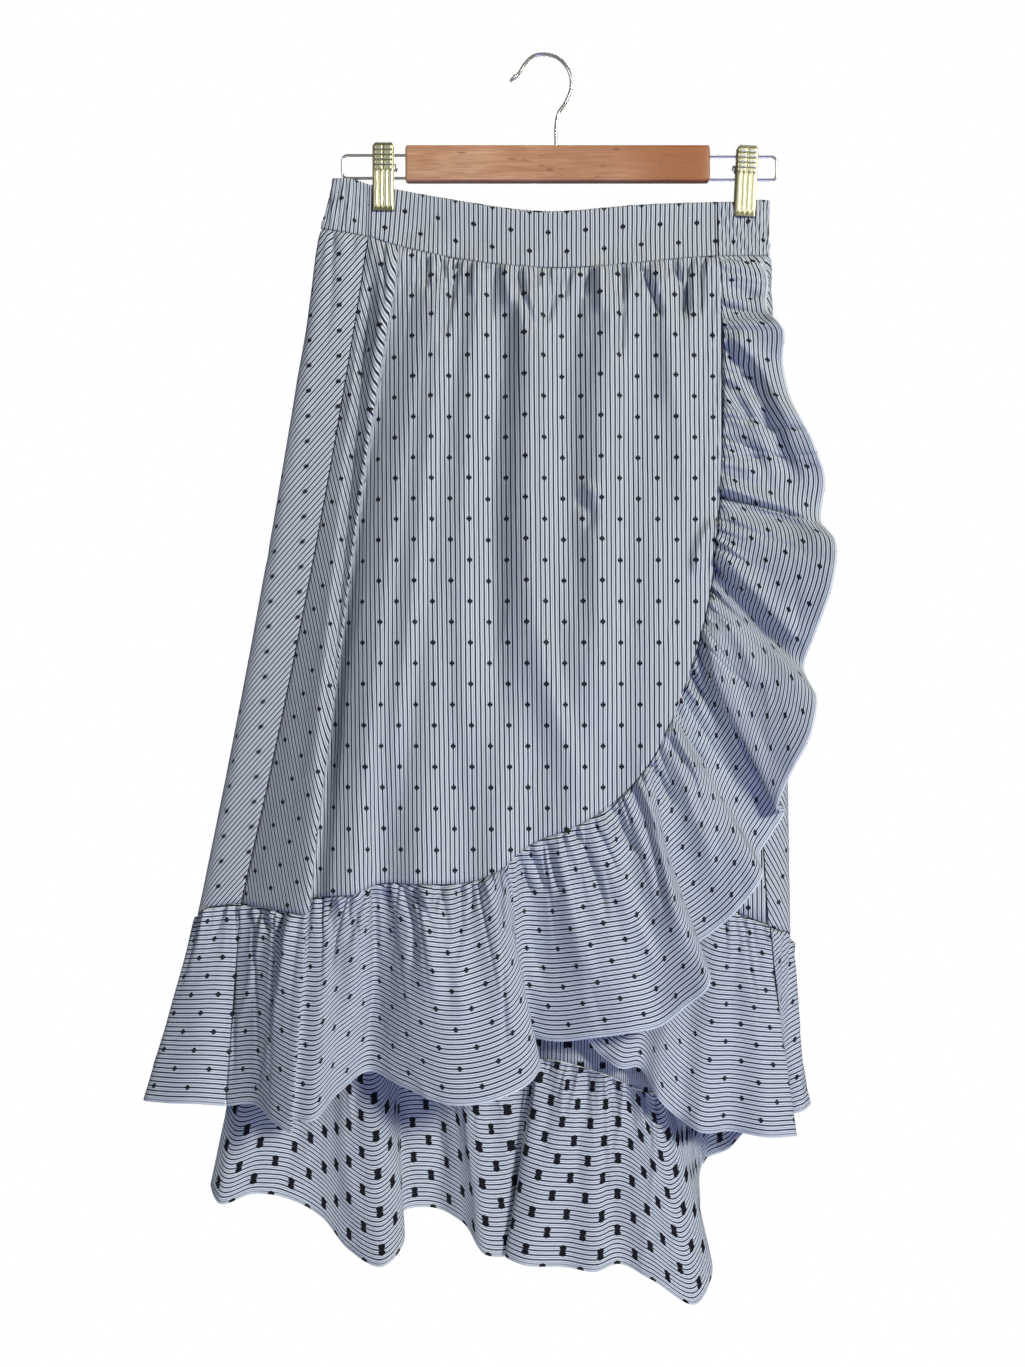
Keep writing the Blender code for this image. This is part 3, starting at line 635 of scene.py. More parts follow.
COLOUR, FLOAT, VECTOR = "NodeSocketColor", "NodeSocketFloat", "NodeSocketVector"
woven, given, made = new_group(
    "woven_stripe",
    (
        ("Flat place", VECTOR, None),
        ("Edges", VECTOR, None),
        ("Ground", COLOUR, (0.81, 0.87, 0.845, 1.0)),
        ("Yarn", COLOUR, (0.009, 0.011, 0.036, 1.0)),
        ("Wrong side", FLOAT, 0.0),
    ),
    (("Color", COLOUR), ("Height", FLOAT), ("Dots", FLOAT)),
)
split = woven.nodes.new("ShaderNodeSeparateXYZ")
woven.links.new(given.outputs["Flat place"], split.inputs[0])
borders = woven.nodes.new("ShaderNodeSeparateXYZ")
woven.links.new(given.outputs["Edges"], borders.inputs[0])
wander = number(woven, "SUBTRACT", speckle(woven, given.outputs["Flat place"], 26.0), 0.5)
u = number(woven, "MULTIPLY_ADD", wander, 0.7 * MM, split.outputs[0])
v = split.outputs[1]
phase = number(woven, "FRACT", number(woven, "DIVIDE", u, STRIPE_PITCH))
off_centre = number(woven, "ABSOLUTE", number(woven, "SUBTRACT", phase, 0.5))
off_line = number(woven, "MULTIPLY", off_centre, STRIPE_PITCH)
line = step_between(woven, off_line, STRIPE_WIDTH / 2 + 0.12 * MM, STRIPE_WIDTH / 2 - 0.12 * MM)
off_middle = number(woven, "SUBTRACT", STRIPE_PITCH / 2, off_line)
thin_line = step_between(woven, off_middle, 0.5 * MM, 0.28 * MM)

column = number(woven, "DIVIDE", number(woven, "ADD", u, STRIPE_PITCH / 2), DOT_ACROSS)
nearest = number(woven, "ROUND", column)
du = number(woven, "MULTIPLY", number(woven, "SUBTRACT", column, nearest), DOT_ACROSS)
odd = number(woven, "MULTIPLY", number(woven, "FLOORED_MODULO", nearest, 2.0), 0.5)
row = number(woven, "FRACT", number(woven, "ADD", number(woven, "DIVIDE", v, DOT_ALONG), odd))
dv = number(woven, "MULTIPLY", number(woven, "SUBTRACT", row, 0.5), DOT_ALONG)
dv = number(woven, "MULTIPLY", dv, borders.outputs[2])
au = number(woven, "ABSOLUTE", du)
av = number(woven, "ABSOLUTE", dv)


def lozenge(across, along_it, half_across, half_along):
    """A soft lozenge: the sum of both distances, each over its half size, is under 1."""
    first = number(woven, "DIVIDE", number(woven, "ABSOLUTE", across), half_across)
    second = number(woven, "DIVIDE", number(woven, "ABSOLUTE", along_it), half_along)
    return step_between(woven, number(woven, "ADD", first, second), 1.15, 0.85)


side_leaf = lozenge(number(woven, "SUBTRACT", au, 1.3 * MM), dv, 1.25 * MM, 1.4 * MM)
end_leaf = lozenge(du, number(woven, "SUBTRACT", av, 1.5 * MM), 1.25 * MM, 1.45 * MM)
diamond = number(woven, "MAXIMUM", side_leaf, end_leaf)

ragged = number(woven, "MULTIPLY", speckle(woven, given.outputs["Flat place"], 900.0), 0.9 * MM)
bu = number(woven, "SUBTRACT", au, 2.4 * MM)
bv = number(woven, "MULTIPLY", dv, 0.85)
squares = number(woven, "ADD", number(woven, "MULTIPLY", bu, bu), number(woven, "MULTIPLY", bv, bv))
radius = number(woven, "SQRT", squares)
tuft = step_between(woven, number(woven, "ADD", radius, ragged), 3.15 * MM, 2.8 * MM)
to_tuft = number(woven, "MULTIPLY", number(woven, "SUBTRACT", tuft, diamond), given.outputs["Wrong side"])
dots = number(woven, "ADD", diamond, to_tuft)

rolled = step_between(woven, borders.outputs[0], 2.4 * MM, 1.7 * MM)
mottle = speckle(woven, given.outputs["Flat place"], 9.0, 4.0)
slub = speckle(woven, stretched(woven, given.outputs["Flat place"], (2600.0, 160.0, 1.0)), 1.0, 2.0)
mottled = number(woven, "MULTIPLY", mottle, 0.35)
ground = blend_colour(woven, mottled, given.outputs["Ground"], (0.68, 0.73, 0.8))
ground = blend_colour(woven, number(woven, "MULTIPLY", slub, 0.16), ground, (0.5, 0.55, 0.66))
worn = number(woven, "MULTIPLY_ADD", slub, -0.12, 1.04)
colour = blend_colour(woven, number(woven, "MULTIPLY", thin_line, 0.8), ground, (0.25, 0.27, 0.36))
colour = blend_colour(woven, number(woven, "MULTIPLY", line, worn), colour, given.outputs["Yarn"])
colour = blend_colour(woven, number(woven, "MULTIPLY", rolled, 0.85), colour, given.outputs["Ground"])
colour = blend_colour(woven, dots, colour, (0.005, 0.005, 0.009))
thread = speckle(woven, stretched(woven, given.outputs["Flat place"], (1500.0, 1500.0, 1.0)), 1.0, 1.0)
height = number(woven, "MULTIPLY_ADD", thread, 0.25, number(woven, "MULTIPLY", dots, 0.9))
woven.links.new(colour, made.inputs["Color"])
woven.links.new(height, made.inputs["Height"])
woven.links.new(dots, made.inputs["Dots"])


# %% A material with its shader
def new_material(name, base, roughness):
    finish = bpy.data.materials.new(name)
    finish.use_nodes = True
    shader = finish.node_tree.nodes["Principled BSDF"]
    shader.inputs["Roughness"].default_value = roughness
    finish.diffuse_color = (*base, 1.0)
    return finish, finish.node_tree, shader


def place_group(tree, group, **values):
    """A group in a material, with its inputs set or linked by their names."""
    node = tree.nodes.new("ShaderNodeGroup")
    node.node_tree = group
    for title, value in values.items():
        connect(tree, value, node.inputs[title.replace("_", " ")])
    return node


def raised(tree, shader, height, distance, strength=1.0):
    """A Bump node from a height to the shader's normal."""
    bump = tree.nodes.new("ShaderNodeBump")
    bump.inputs["Strength"].default_value = strength
    bump.inputs["Distance"].default_value = distance
    tree.links.new(height, bump.inputs["Height"])
    tree.links.new(bump.outputs["Normal"], shader.inputs["Normal"])


# %% The two sides of the cloth
def cotton(name, wrong, ground):
    finish, tree, shader = new_material(name, (0.66, 0.71, 0.82), 0.82)
    flat = tree.nodes.new("ShaderNodeUVMap")
    flat.uv_map = "cloth"
    edges = tree.nodes.new("ShaderNodeAttribute")
    edges.attribute_name = "edges"
    weave = place_group(
        tree,
        woven,
        Flat_place=flat.outputs[0],
        Edges=edges.outputs["Vector"],
        Ground=(*ground, 1.0),
        Wrong_side=wrong,
    )
    tree.links.new(weave.outputs["Color"], shader.inputs["Base Color"])
    soft = speckle(tree, flat.outputs[0], 55.0, 3.0)
    crumple = speckle(tree, flat.outputs[0], 140.0, 2.0)
    low = number(tree, "MULTIPLY_ADD", soft, 2.0, number(tree, "MULTIPLY", crumple, 0.6))
    height = number(tree, "MULTIPLY_ADD", weave.outputs["Height"], 0.25, low)
    raised(tree, shader, height, 0.5 * MM, 0.8)
    rough = number(tree, "MULTIPLY_ADD", weave.outputs["Dots"], 0.12, 0.8)
    tree.links.new(rough, shader.inputs["Roughness"])
    shader.inputs["Specular IOR Level"].default_value = 0.25
    shader.inputs["Sheen Weight"].default_value = 0.05
    shader.inputs["Sheen Roughness"].default_value = 0.5
    return finish


PANEL_GROUND = (0.82, 0.875, 0.835)
# Painted shade: the ruffles' ground is bluer and a little darker than the panels', standing for the
# lavender shade on them. It is the same cloth.
RUFFLE_SHADED_GROUND = (0.79, 0.86, 0.86)
right_side = cotton("cotton_right_side", 0.0, PANEL_GROUND)
wrong_side = cotton("cotton_wrong_side", 1.0, PANEL_GROUND)
ruffle_right_side_shaded = cotton("ruffle_right_side_shaded", 0.0, RUFFLE_SHADED_GROUND)
ruffle_wrong_side_shaded = cotton("ruffle_wrong_side_shaded", 1.0, RUFFLE_SHADED_GROUND)

# %% [markdown]
# ## Wood and plated wire
# The bar is varnished hardwood with long, faint grain. The hook, the frames and the clips are
# plated steel. The clips' warm, pale gold colour is a painted yellowish reflection on their
# plating, and painted shade darkens them below their pads and ribs. The wire is cooler.

# %% Wood grain
grain, given, made = new_group(
    "wood_grain",
    (("Place", VECTOR, None),),
    (("Color", COLOUR), ("Height", FLOAT), ("Roughness", FLOAT)),
)
spot = grain.nodes.new("ShaderNodeSeparateXYZ")
grain.links.new(given.outputs["Place"], spot.inputs[0])
dark_end = step_between(grain, spot.outputs[0], 0.03, 0.115)
pale_end = step_between(grain, spot.outputs[0], 0.06, -0.11)
lengthwise = stretched(grain, given.outputs["Place"], (9.0, 60.0, 95.0))
broad = speckle(grain, lengthwise, 1.0, 4.0)
fine = speckle(grain, stretched(grain, given.outputs["Place"], (60.0, 900.0, 1400.0)), 1.0, 3.0)
cloud = speckle(grain, stretched(grain, given.outputs["Place"], (14.0, 20.0, 26.0)), 1.0, 3.0)
rings = number(grain, "SINE", number(grain, "MULTIPLY", broad, 26.0))
rings = number(grain, "MULTIPLY_ADD", rings, 0.5, 0.5)
tone = blend_colour(grain, step_between(grain, cloud, 0.35, 0.68), (0.56, 0.27, 0.13), (0.72, 0.4, 0.22))
tone = blend_colour(grain, number(grain, "MULTIPLY", pale_end, 0.5), tone, (0.82, 0.5, 0.29))
tone = blend_colour(grain, number(grain, "MULTIPLY", dark_end, 0.95), tone, (0.4, 0.12, 0.02))
tone = blend_colour(grain, number(grain, "MULTIPLY", rings, 0.42), tone, (0.42, 0.17, 0.06))
pores = number(grain, "MULTIPLY", step_between(grain, fine, 0.46, 0.72), 0.5)
tone = blend_colour(grain, pores, tone, (0.32, 0.12, 0.04))
knots_noise = speckle(grain, stretched(grain, given.outputs["Place"], (55.0, 60.0, 190.0)), 1.0, 1.0)
flecks = number(grain, "MULTIPLY", step_between(grain, knots_noise, 0.68, 0.78), 0.7)
tone = blend_colour(grain, flecks, tone, (0.2, 0.07, 0.03))
grain.links.new(tone, made.inputs["Color"])
grain.links.new(fine, made.inputs["Height"])
grain.links.new(number(grain, "MULTIPLY_ADD", fine, 0.25, 0.33), made.inputs["Roughness"])

wood, tree, shader = new_material("hanger_wood", (0.55, 0.27, 0.12), 0.45)
where = tree.nodes.new("ShaderNodeTexCoord")
boards = place_group(tree, grain, Place=where.outputs["Object"])
tree.links.new(boards.outputs["Color"], shader.inputs["Base Color"])
tree.links.new(boards.outputs["Roughness"], shader.inputs["Roughness"])
raised(tree, shader, boards.outputs["Height"], 0.12 * MM, 0.5)
shader.inputs["Coat Weight"].default_value = 0.15
shader.inputs["Coat Roughness"].default_value = 0.3


# %% Plated steel
def plating(name, base, tint, roughness, relief=False):
    """Metal with small changes of tone and polish over its surface. With relief, everything lower than
    the pads and ribs, which the edges attribute holds, is darkened with painted shade."""
    finish, tree, shader = new_material(name, base, roughness)
    where = tree.nodes.new("ShaderNodeTexCoord")
    cloudy = speckle(tree, where.outputs["Object"], 160.0, 3.0)
    scuffs = speckle(tree, where.outputs["Object"], 2300.0, 2.0)
    tone = blend_colour(tree, cloudy, base, tint)
    if relief:
        pressed = tree.nodes.new("ShaderNodeAttribute")
        pressed.attribute_name = "edges"
        rise = tree.nodes.new("ShaderNodeSeparateXYZ")
        tree.links.new(pressed.outputs["Vector"], rise.inputs[0])
        # Painted shade: the clip's colour is darkened wherever it lies lower than its pads and ribs.
        painted_hollow_shade = step_between(tree, rise.outputs[2], 0.5, 0.12)
        tone = blend_colour(tree, number(tree, "MULTIPLY", painted_hollow_shade, 0.8), tone, (0.2, 0.19, 0.1))
    tree.links.new(tone, shader.inputs["Base Color"])
    polish = number(tree, "MULTIPLY_ADD", scuffs, 0.18, roughness)
    tree.links.new(polish, shader.inputs["Roughness"])
    raised(tree, shader, scuffs, 0.02 * MM, 0.3)
    shader.inputs["Metallic"].default_value = 1.0
    return finish


wire_plating = plating("plated_wire", (0.62, 0.62, 0.62), (0.78, 0.77, 0.74), 0.12)
# The clips' pale gold base and tint are a painted yellowish reflection on chrome, and relief adds painted
# shade below the pads and ribs.
clip_plating_painted_light = plating("plated_clip_painted_light", (0.88, 0.86, 0.52), (0.97, 0.95, 0.68), 0.22, relief=True)
spring_steel = plating("spring_steel", (0.2, 0.2, 0.2), (0.34, 0.33, 0.31), 0.3)

# %% [markdown]
# ## Creases placed for this skirt
# Each crease is a line of chart spots, a height towards the viewer in millimetres, and its width
# to each side of the line, in chart units. A negative height is a trough. The long folds follow
# the skirt's own. The short pleats are placed one by one: their kind and spacing are meant to be
# right, and not the place of each one.

# %% Listed creases
FRONT_CREASES = (
    (((372, 262), (366, 330), (350, 480), (334, 640), (322, 780), (316, 880)), -4.0, 5, 26),
    (((368, 290), (356, 420), (342, 560), (330, 700), (320, 860)), -5.0, 3, 9),
    (((446, 266), (438, 360), (424, 480), (410, 620), (394, 740), (388, 860)), 6.0, 24, 10),
    (((482, 262), (472, 380), (466, 520), (466, 700), (476, 860)), 3.5, 12, 22),
    (((500, 268), (498, 380), (490, 500), (494, 640), (508, 780)), -4.0, 14, 14),
    (((524, 268), (534, 370), (530, 470), (534, 580), (550, 690), (590, 812)), 8.0, 22, 9),
    (((576, 268), (570, 400), (574, 540), (596, 700)), -3.0, 16, 16),
    (((626, 266), (616, 340), (606, 450), (600, 560), (602, 680), (616, 780)), 6.5, 26, 12),
    (((576, 500), (590, 514), (584, 534)), -2.6, 5, 6),
    (((583, 486), (600, 498)), 2.6, 5, 5),
    (((655, 262), (668, 330), (672, 430)), 3.5, 12, 9),
    (((690, 262), (690, 340), (682, 440), (690, 540)), 2.5, 14, 10),
    (((716, 520), (702, 540), (694, 580)), 3.4, 6, 8),
    (((392, 246), (384, 300), (366, 380), (352, 460)), 3.0, 12, 10),
)

# Short pleats where the front is gathered into the waistband.
WAIST_PLEATS = (
    (((427, 256), (425, 292)), -4.0, 3, 4),
    (((441, 258), (446, 284)), -3.0, 3, 3),
    (((456, 259), (448, 312), (440, 352)), -5.0, 4, 5),
    (((486, 264), (485, 300)), -3.5, 3, 4),
    (((494, 264), (489, 326)), -4.0, 4, 4),
    (((517, 268), (527, 307), (540, 342)), -5.0, 5, 4),
    (((538, 268), (536, 290)), -3.0, 3, 3),
    (((563, 268), (550, 307), (544, 330)), -4.5, 4, 4),
    (((571, 268), (563, 300)), -3.0, 3, 3),
    (((589, 267), (584, 300)), -3.5, 3, 3),
    (((612, 265), (616, 300)), -3.0, 3, 4),
    (((625, 264), (622, 322), (619, 374)), -5.0, 6, 4),
    (((640, 263), (656, 302), (662, 324)), -4.5, 4, 3),
    (((671, 260), (684, 290), (681, 326)), -4.5, 4, 4),
    (((689, 258), (686, 324)), -3.5, 3, 4),
    (((702, 257), (699, 322)), -3.0, 3, 3),
    (((476, 262), (474, 300)), 3.0, 4, 4),
    (((506, 265), (510, 310)), 3.0, 5, 4),
    (((600, 266), (601, 320)), 3.0, 5, 5),
)

# The ruffle's own: seam to hem, from the left foot round the corner and up the right side.
RUFFLE_CREASES = (
    (((372, 884), (374, 930), (373, 990), (362, 1072)), -9.0, 4, 24),
    (((330, 898), (334, 950), (326, 1040)), -5.0, 5, 20),
    (((426, 884), (432, 950), (440, 1010)), 4.0, 14, 6),
    (((452, 880), (456, 940), (468, 1040)), 3.5, 10, 8),
    (((489, 874), (500, 950), (514, 1040)), 5.0, 12, 7),
    (((522, 852), (528, 920), (548, 1000)), -6.0, 6, 20),
    (((556, 838), (570, 900), (600, 1000)), 4.0, 14, 8),
    (((600, 812), (622, 880), (660, 980)), 5.0, 14, 6),
    (((640, 778), (656, 830), (672, 900), (690, 960)), 7.0, 16, 6),
    (((672, 718), (690, 760), (704, 820), (712, 880)), 6.0, 18, 6),
    (((682, 694), (694, 740), (716, 800), (740, 850)), -4.0, 8, 14),
    (((706, 622), (716, 680), (736, 742), (768, 806)), 6.0, 5, 18),
    (((698, 630), (704, 690), (722, 748), (752, 812)), -5.0, 16, 6),
    (((706, 598), (722, 612), (740, 640), (760, 690)), 3.0, 9, 9),
    (((714, 552), (742, 582), (776, 620), (806, 652)), 7.0, 5, 16),
    (((710, 562), (734, 596), (766, 634), (798, 666)), -6.0, 20, 6),
    (((718, 484), (750, 497), (788, 508), (826, 528)), 5.0, 4, 14),
    (((716, 492), (750, 507), (786, 520), (820, 540)), -6.0, 12, 5),
    (((718, 500), (742, 522), (770, 536)), 2.5, 6, 6),
    (((722, 340), (748, 372), (764, 402), (784, 450), (800, 490)), -8.0, 10, 7),
    (((728, 334), (756, 364), (774, 396), (796, 446)), 5.0, 5, 12),
    (((722, 380), (740, 400), (752, 430)), -4.5, 7, 5),
    (((722, 430), (744, 440), (768, 470)), -4.0, 8, 6),
    (((722, 318), (750, 316), (778, 320)), -6.0, 4, 10),
    (((722, 280), (742, 290), (764, 300)), -3.5, 6, 6),
    (((722, 352), (738, 352), (752, 362)), 3.0, 6, 6),
    (((722, 410), (736, 412), (750, 420)), 3.0, 6, 6),
    (((722, 456), (738, 462), (756, 480)), 2.5, 6, 6),
)

# Short pleats where the ruffle is gathered into the panel.
RUFFLE_PLEATS = (
    (((263, 909), (270, 934)), -4.5, 4, 3),
    (((287, 911), (274, 942)), -4.0, 3, 4),
    (((231, 908), (234, 1000), (233, 1096)), -2.0, 2, 2),
    (((323, 897), (325, 920)), -4.0, 3, 3),
    (((350, 894), (348, 926)), -4.0, 3, 3),
    (((365, 889), (345, 950)), -4.5, 4, 4),
    (((388, 885), (391, 910)), -3.5, 3, 3),
    (((403, 885), (414, 930), (412, 975)), -5.0, 4, 5),
    (((412, 885), (432, 930), (433, 952)), -4.0, 4, 3),
    (((443, 885), (421, 932)), -3.5, 3, 4),
    (((459, 884), (460, 930), (454, 968)), -4.5, 5, 4),
    (((474, 883), (470, 920)), -3.5, 3, 3),
    (((499, 872), (503, 969), (506, 1070)), -3.0, 2, 3),
    (((516, 855), (534, 900)), -4.5, 4, 3),
    (((530, 848), (548, 896)), -4.0, 4, 3),
    (((546, 841), (562, 900)), -4.5, 4, 4),
    (((575, 828), (600, 890), (608, 930)), -5.0, 5, 4),
    (((592, 818), (622, 880)), -4.0, 4, 3),
    (((611, 806), (640, 860)), -4.5, 4, 4),
    (((635, 782), (656, 861), (668, 925)), -6.0, 6, 4),
    (((650, 762), (676, 810)), -4.5, 4, 4),
    (((666, 734), (694, 779), (708, 838)), -6.0, 6, 4),
    (((676, 707), (688, 743), (708, 768)), -4.5, 4, 4),
    (((690, 672), (706, 700)), -4.0, 4, 3),
)

# On the inside of the back ruffle, which shows below the front.
BACK_RUFFLE_CREASES = (
    (((300, 1120), (290, 1160), (270, 1200)), -3.0, 8, 8),
    (((350, 1060), (345, 1150), (360, 1240)), 3.0, 9, 9),
    (((610, 1085), (606, 1160), (612, 1260)), -4.0, 8, 8),
    (((641, 1240), (672, 1236), (706, 1232)), 1.6, 3, 3),
    (((552, 1060), (548, 1110), (540, 1170)), -4.0, 7, 7),
    (((588, 1070), (580, 1130), (576, 1200)), -3.5, 6, 8),
    (((654, 1092), (668, 1150), (684, 1230)), -4.0, 8, 6),
    (((500, 1062), (508, 1120), (514, 1190)), 3.0, 8, 8),
    (((440, 1058), (440, 1120), (446, 1190)), -4.0, 7, 9),
    (((398, 1050), (396, 1110), (402, 1180)), -5.0, 6, 12),
)

# On the front of the waistband.
BAND_CREASES = (
    (((440, 262), (462, 246), (500, 240)), -2.2, 10, 8),
    (((520, 266), (534, 250), (560, 240)), 1.7, 9, 9),
    (((396, 242), (420, 226), (450, 214)), -1.7, 8, 8),
    (((600, 262), (620, 244), (660, 232)), -1.7, 8, 9),
    (((560, 224), (600, 222), (650, 218)), 1.1, 8, 8),
)

# How many times deeper than its table a piece's creases are made. This was chosen for the shade
# that they give, and it isn't a measure of the real folds.
FRONT_GAIN = 2.0
RUFFLE_GAIN = 1.25

# %% [markdown]
# ## The waistband
# The front of the waistband is smooth and flat. Its back is a casing with elastic, which draws
# the cloth into small upright ridges. Both are two layers thick. The clips press the band flat
# near its top, so its middle has hardly begun to open.


# %% The bands' grids
def band_grid(table, columns, rows):
    """A band: its top edge and seam edge carried through the table's rows, with a soft break in
    depth at the height where the clips stop pressing."""
    table = np.array(table)
    top = place(*table[:, 0:3].T)
    low = place(*table[:, 3:6].T)
    knots = lengths((top + low) / 2)
    at = np.linspace(0, knots[-1], columns)
    top, low = smooth(knots, top, at), smooth(knots, low, at)
    down = np.linspace(0, 1, rows)
    height = np.array([0.0, BAND_MIDDLE, 1.0])
    opening = np.array([0.0, BAND_PINCH, 1.0])
    share = smooth(height, opening, down)[:, None]
    grid = top + (low - top) * down[:, None, None]
    grid[..., 1] = top[:, 1] + (low[:, 1] - top[:, 1]) * share
    return grid


front_band_grid = band_grid(FRONT_BAND, 260, 26)
back_band_grid = band_grid(BACK_BAND, 560, 24)
plain_back_band = back_band_grid.copy()

# %% Elastic draws the back band into ridges
elastic_across = from_left(back_band_grid)
elastic_below = from_top(back_band_grid)
ridge = puckers(elastic_across, 12.0 + 0 * elastic_below, 8.0, 1.6, 400.0, 11)
ridge += puckers(elastic_across, 12.0 + 0 * elastic_below, 4.6, 0.6, 400.0, 12)
calm = np.clip(np.minimum(elastic_below, elastic_below[-1] - elastic_below) / 5.0, 0.25, 1)
back_band_grid = back_band_grid - facing(back_band_grid) * (ridge * calm)[..., None]
back_band_grid = rumpled(back_band_grid, 16.0, 0.5, 14)
band_dip = puckers(from_left(front_band_grid), from_top(front_band_grid)[::-1], 13.0, 0.3, 14.0, 13)
front_band_grid = creased(front_band_grid + facing(front_band_grid) * band_dip[..., None], BAND_CREASES)

# %% The bands as shells
front_across = from_left(front_band_grid)
front_below = from_top(front_band_grid)
band_edges = edge_distances(front_below + NO_HEM, front_below[-1] - front_below)
front_waistband = shell(
    "cloth_front_waistband",
    front_band_grid,
    np.stack([front_across[-1:] + 0 * front_across, -front_below], axis=-1),
    band_edges,
    (right_side, wrong_side),
    BAND_COTTON,
)
elastic_across = from_left(back_band_grid)
back_waistband = shell(
    "cloth_back_waistband",
    back_band_grid,
    np.stack([1.15 * elastic_across.mean(axis=0) + 0 * elastic_across, -elastic_below], axis=-1),
    edge_distances(elastic_below + NO_HEM, elastic_below[-1] - elastic_below),
    (right_side, wrong_side),
    BAND_COTTON,
    turned=True,
)

# %% [markdown]
# ## The panels
# A panel hangs between the band's seam edge and its own lower edge. The folds deepen on the way
# down. A panel is cut flat with its stripes upright, so a stripe shows how the cloth was turned:
# the left part of the front leans because the tuck beside it takes more cloth at the hem.


# %% A panel's grid
def panel_grid(table, top_edge, columns, rows, inward=0.0):
    """Fold lines from the seam edge to the lower edge. The middle of each stands off the straight
    line by its bulge, as a parabola: 4 t (1 - t). Rows are closer together near the seam."""
    waist, low_x, low_y, low_depth, bulge_x, bulge_depth = np.array(table).T
    low = place(low_x, low_y, low_depth)
    bulge = np.stack([bulge_x, bulge_depth, 0 * bulge_x], axis=-1)
    top = along(top_edge, waist)
    knots = lengths((top + low) / 2)
    at = np.linspace(0, knots[-1], columns)
    top = along(top_edge, smooth(knots, waist, at)) + (0, inward, -SEAM_GAP)
    low, bulge = smooth(knots, low, at), smooth(knots, bulge, at)
    step = np.linspace(0, 1, rows)
    down = (step * (0.35 + 0.65 * step))[:, None, None]
    fold = smooth(knots, np.arange(len(knots), dtype=float), at)
    return top * (1 - down) + low * down + bulge * 4 * down * (1 - down), fold


front_grid, front_fold = panel_grid(FRONT_PANEL, front_band_grid[-1], 250, 165)
under_grid, _ = panel_grid(UNDER_PANEL, front_band_grid[-1], 90, 60, inward=UNDERLAP)
back_grid, back_fold = panel_grid(BACK_PANEL, plain_back_band[-1], 270, 140)
print("front panel across its foot:", round(float(from_left(front_grid)[-1, -1])), "mm")


# %% Layers that keep clear of each other
LAYER_GAP = 1.2
LAYER_REACH = 9.0


def before(grid, behind):
    """The grid moved towards the viewer wherever it would reach into the cloth behind it: each
    point is compared with the nearest point of that cloth, as seen from the front."""
    flat = behind.reshape(-1, 3)
    tree = kdtree.KDTree(len(flat))
    for i, (x, _, z) in enumerate(flat.tolist()):
        tree.insert((x, 0.0, z), i)
    tree.balance()
    kept = grid.copy()
    points = kept.reshape(-1, 3)
    for point in points:
        _, nearest, distance = tree.find((point[0], 0.0, point[2]))
        if distance < LAYER_REACH:
            point[1] = min(point[1], flat[nearest, 1] - LAYER_GAP)
    return kept


# %% Gathers and creases on the panels
def ramp(value, start, end):
    """0 before start, 1 after end, and a smooth step between."""
    t = np.clip((value - start) / (end - start), 0, 1)
    return t * t * (3 - 2 * t)


def gathered_panel(grid, seed, sign=1.0, strength=1.0, puff=3.5):
    """A panel with gathers of several sizes: short ones at the seam, and softer, longer ones.
    Gathered cloth also puffs out a little below its seam."""
    across, below = from_left(grid), from_top(grid)
    across = across[:1] + 0.35 * (across - across[:1])
    rise = puckers(across, below, 7.5, 1.3, 20.0, seed)
    rise += puckers(across, below, 19.0, 2.4, 50.0, seed + 1)
    rise += puckers(across, below, 38.0, 1.4, 120.0, seed + 2)
    rise += puckers(across, below, 15.0, -3.4, 36.0, seed + 3, 0.08, 0.15)
    rise += puff * np.clip(below / 8.0, 0, 1) * np.exp(-((below / 110.0) ** 1.3))
    return rumpled(grid + facing(grid) * (sign * strength * rise)[..., None], 40.0, 0.45, seed + 4)


plain_front, plain_under, plain_back = front_grid, under_grid, back_grid
under_grid = gathered_panel(under_grid, 31, -1.0, 0.35, puff=-4.0)
front_grid = creased(gathered_panel(front_grid, 21), FRONT_CREASES + WAIST_PLEATS, FRONT_GAIN)
free = ramp(from_left(plain_front), 0.0, 8.0)[..., None]
front_grid = plain_front + (front_grid - plain_front) * free
front_grid = before(front_grid, under_grid)
back_grid = gathered_panel(back_grid, 41, -1.0, puff=0.5)


# %% Stripes on the front panel
def plan_length(grid):
    """Length across each row seen from above, from the first column to each."""
    steps = np.hypot(np.diff(grid[..., 0], axis=1), np.diff(grid[..., 1], axis=1))
    return running_sum(steps)


LEAN_FROM = 150.0
FRONT_LEAN = -13.0
arc = plan_length(plain_front)
across = plain_front[:, -1:, 0] - (arc[:, -1:] - arc)
down = -plain_front[..., 2]
weight = 1 - ramp(front_fold, 2.0, 4.0)[None, :]
pivot_column = int(np.searchsorted(front_fold, 3.0))
turn_by = math.radians(FRONT_LEAN)
pivot = across[:, pivot_column : pivot_column + 1]
lean_across = pivot + (across - pivot) * math.cos(turn_by) + (down - LEAN_FROM) * math.sin(turn_by)
lean_down = down * math.cos(turn_by) - (across - pivot) * math.sin(turn_by)
front_pattern = np.stack(
    [across + (lean_across - across) * weight, down + (lean_down - down) * weight], axis=-1
)

# %% Stripes on the back and under panels
BACK_LEAN = 26.0
arc = plan_length(plain_back)
middle_column = int(np.searchsorted(back_fold, 11.0))
arc = arc - arc[:, middle_column : middle_column + 1]
down = -plain_back[..., 2]
lean = BACK_LEAN * (1 - ramp(back_fold, 2.0, 11.0) - ramp(back_fold, 11.0, 17.5))
lean = np.radians(lean)[None, :] + 0 * arc
run = running_sum(np.diff(arc) * np.cos(lean[:, 1:]))
rise = running_sum(np.diff(arc) * np.sin(lean[:, 1:]))
run = run - run[:, middle_column : middle_column + 1]
rise = rise - rise[:, middle_column : middle_column + 1]
drop = down - LEAN_FROM
back_pattern = np.stack([run - drop * np.sin(lean), drop * np.cos(lean) + rise], axis=-1)
arc = plan_length(plain_under)
under_pattern = np.stack([plain_under[:, :1, 0] - arc, -plain_under[..., 2]], axis=-1)

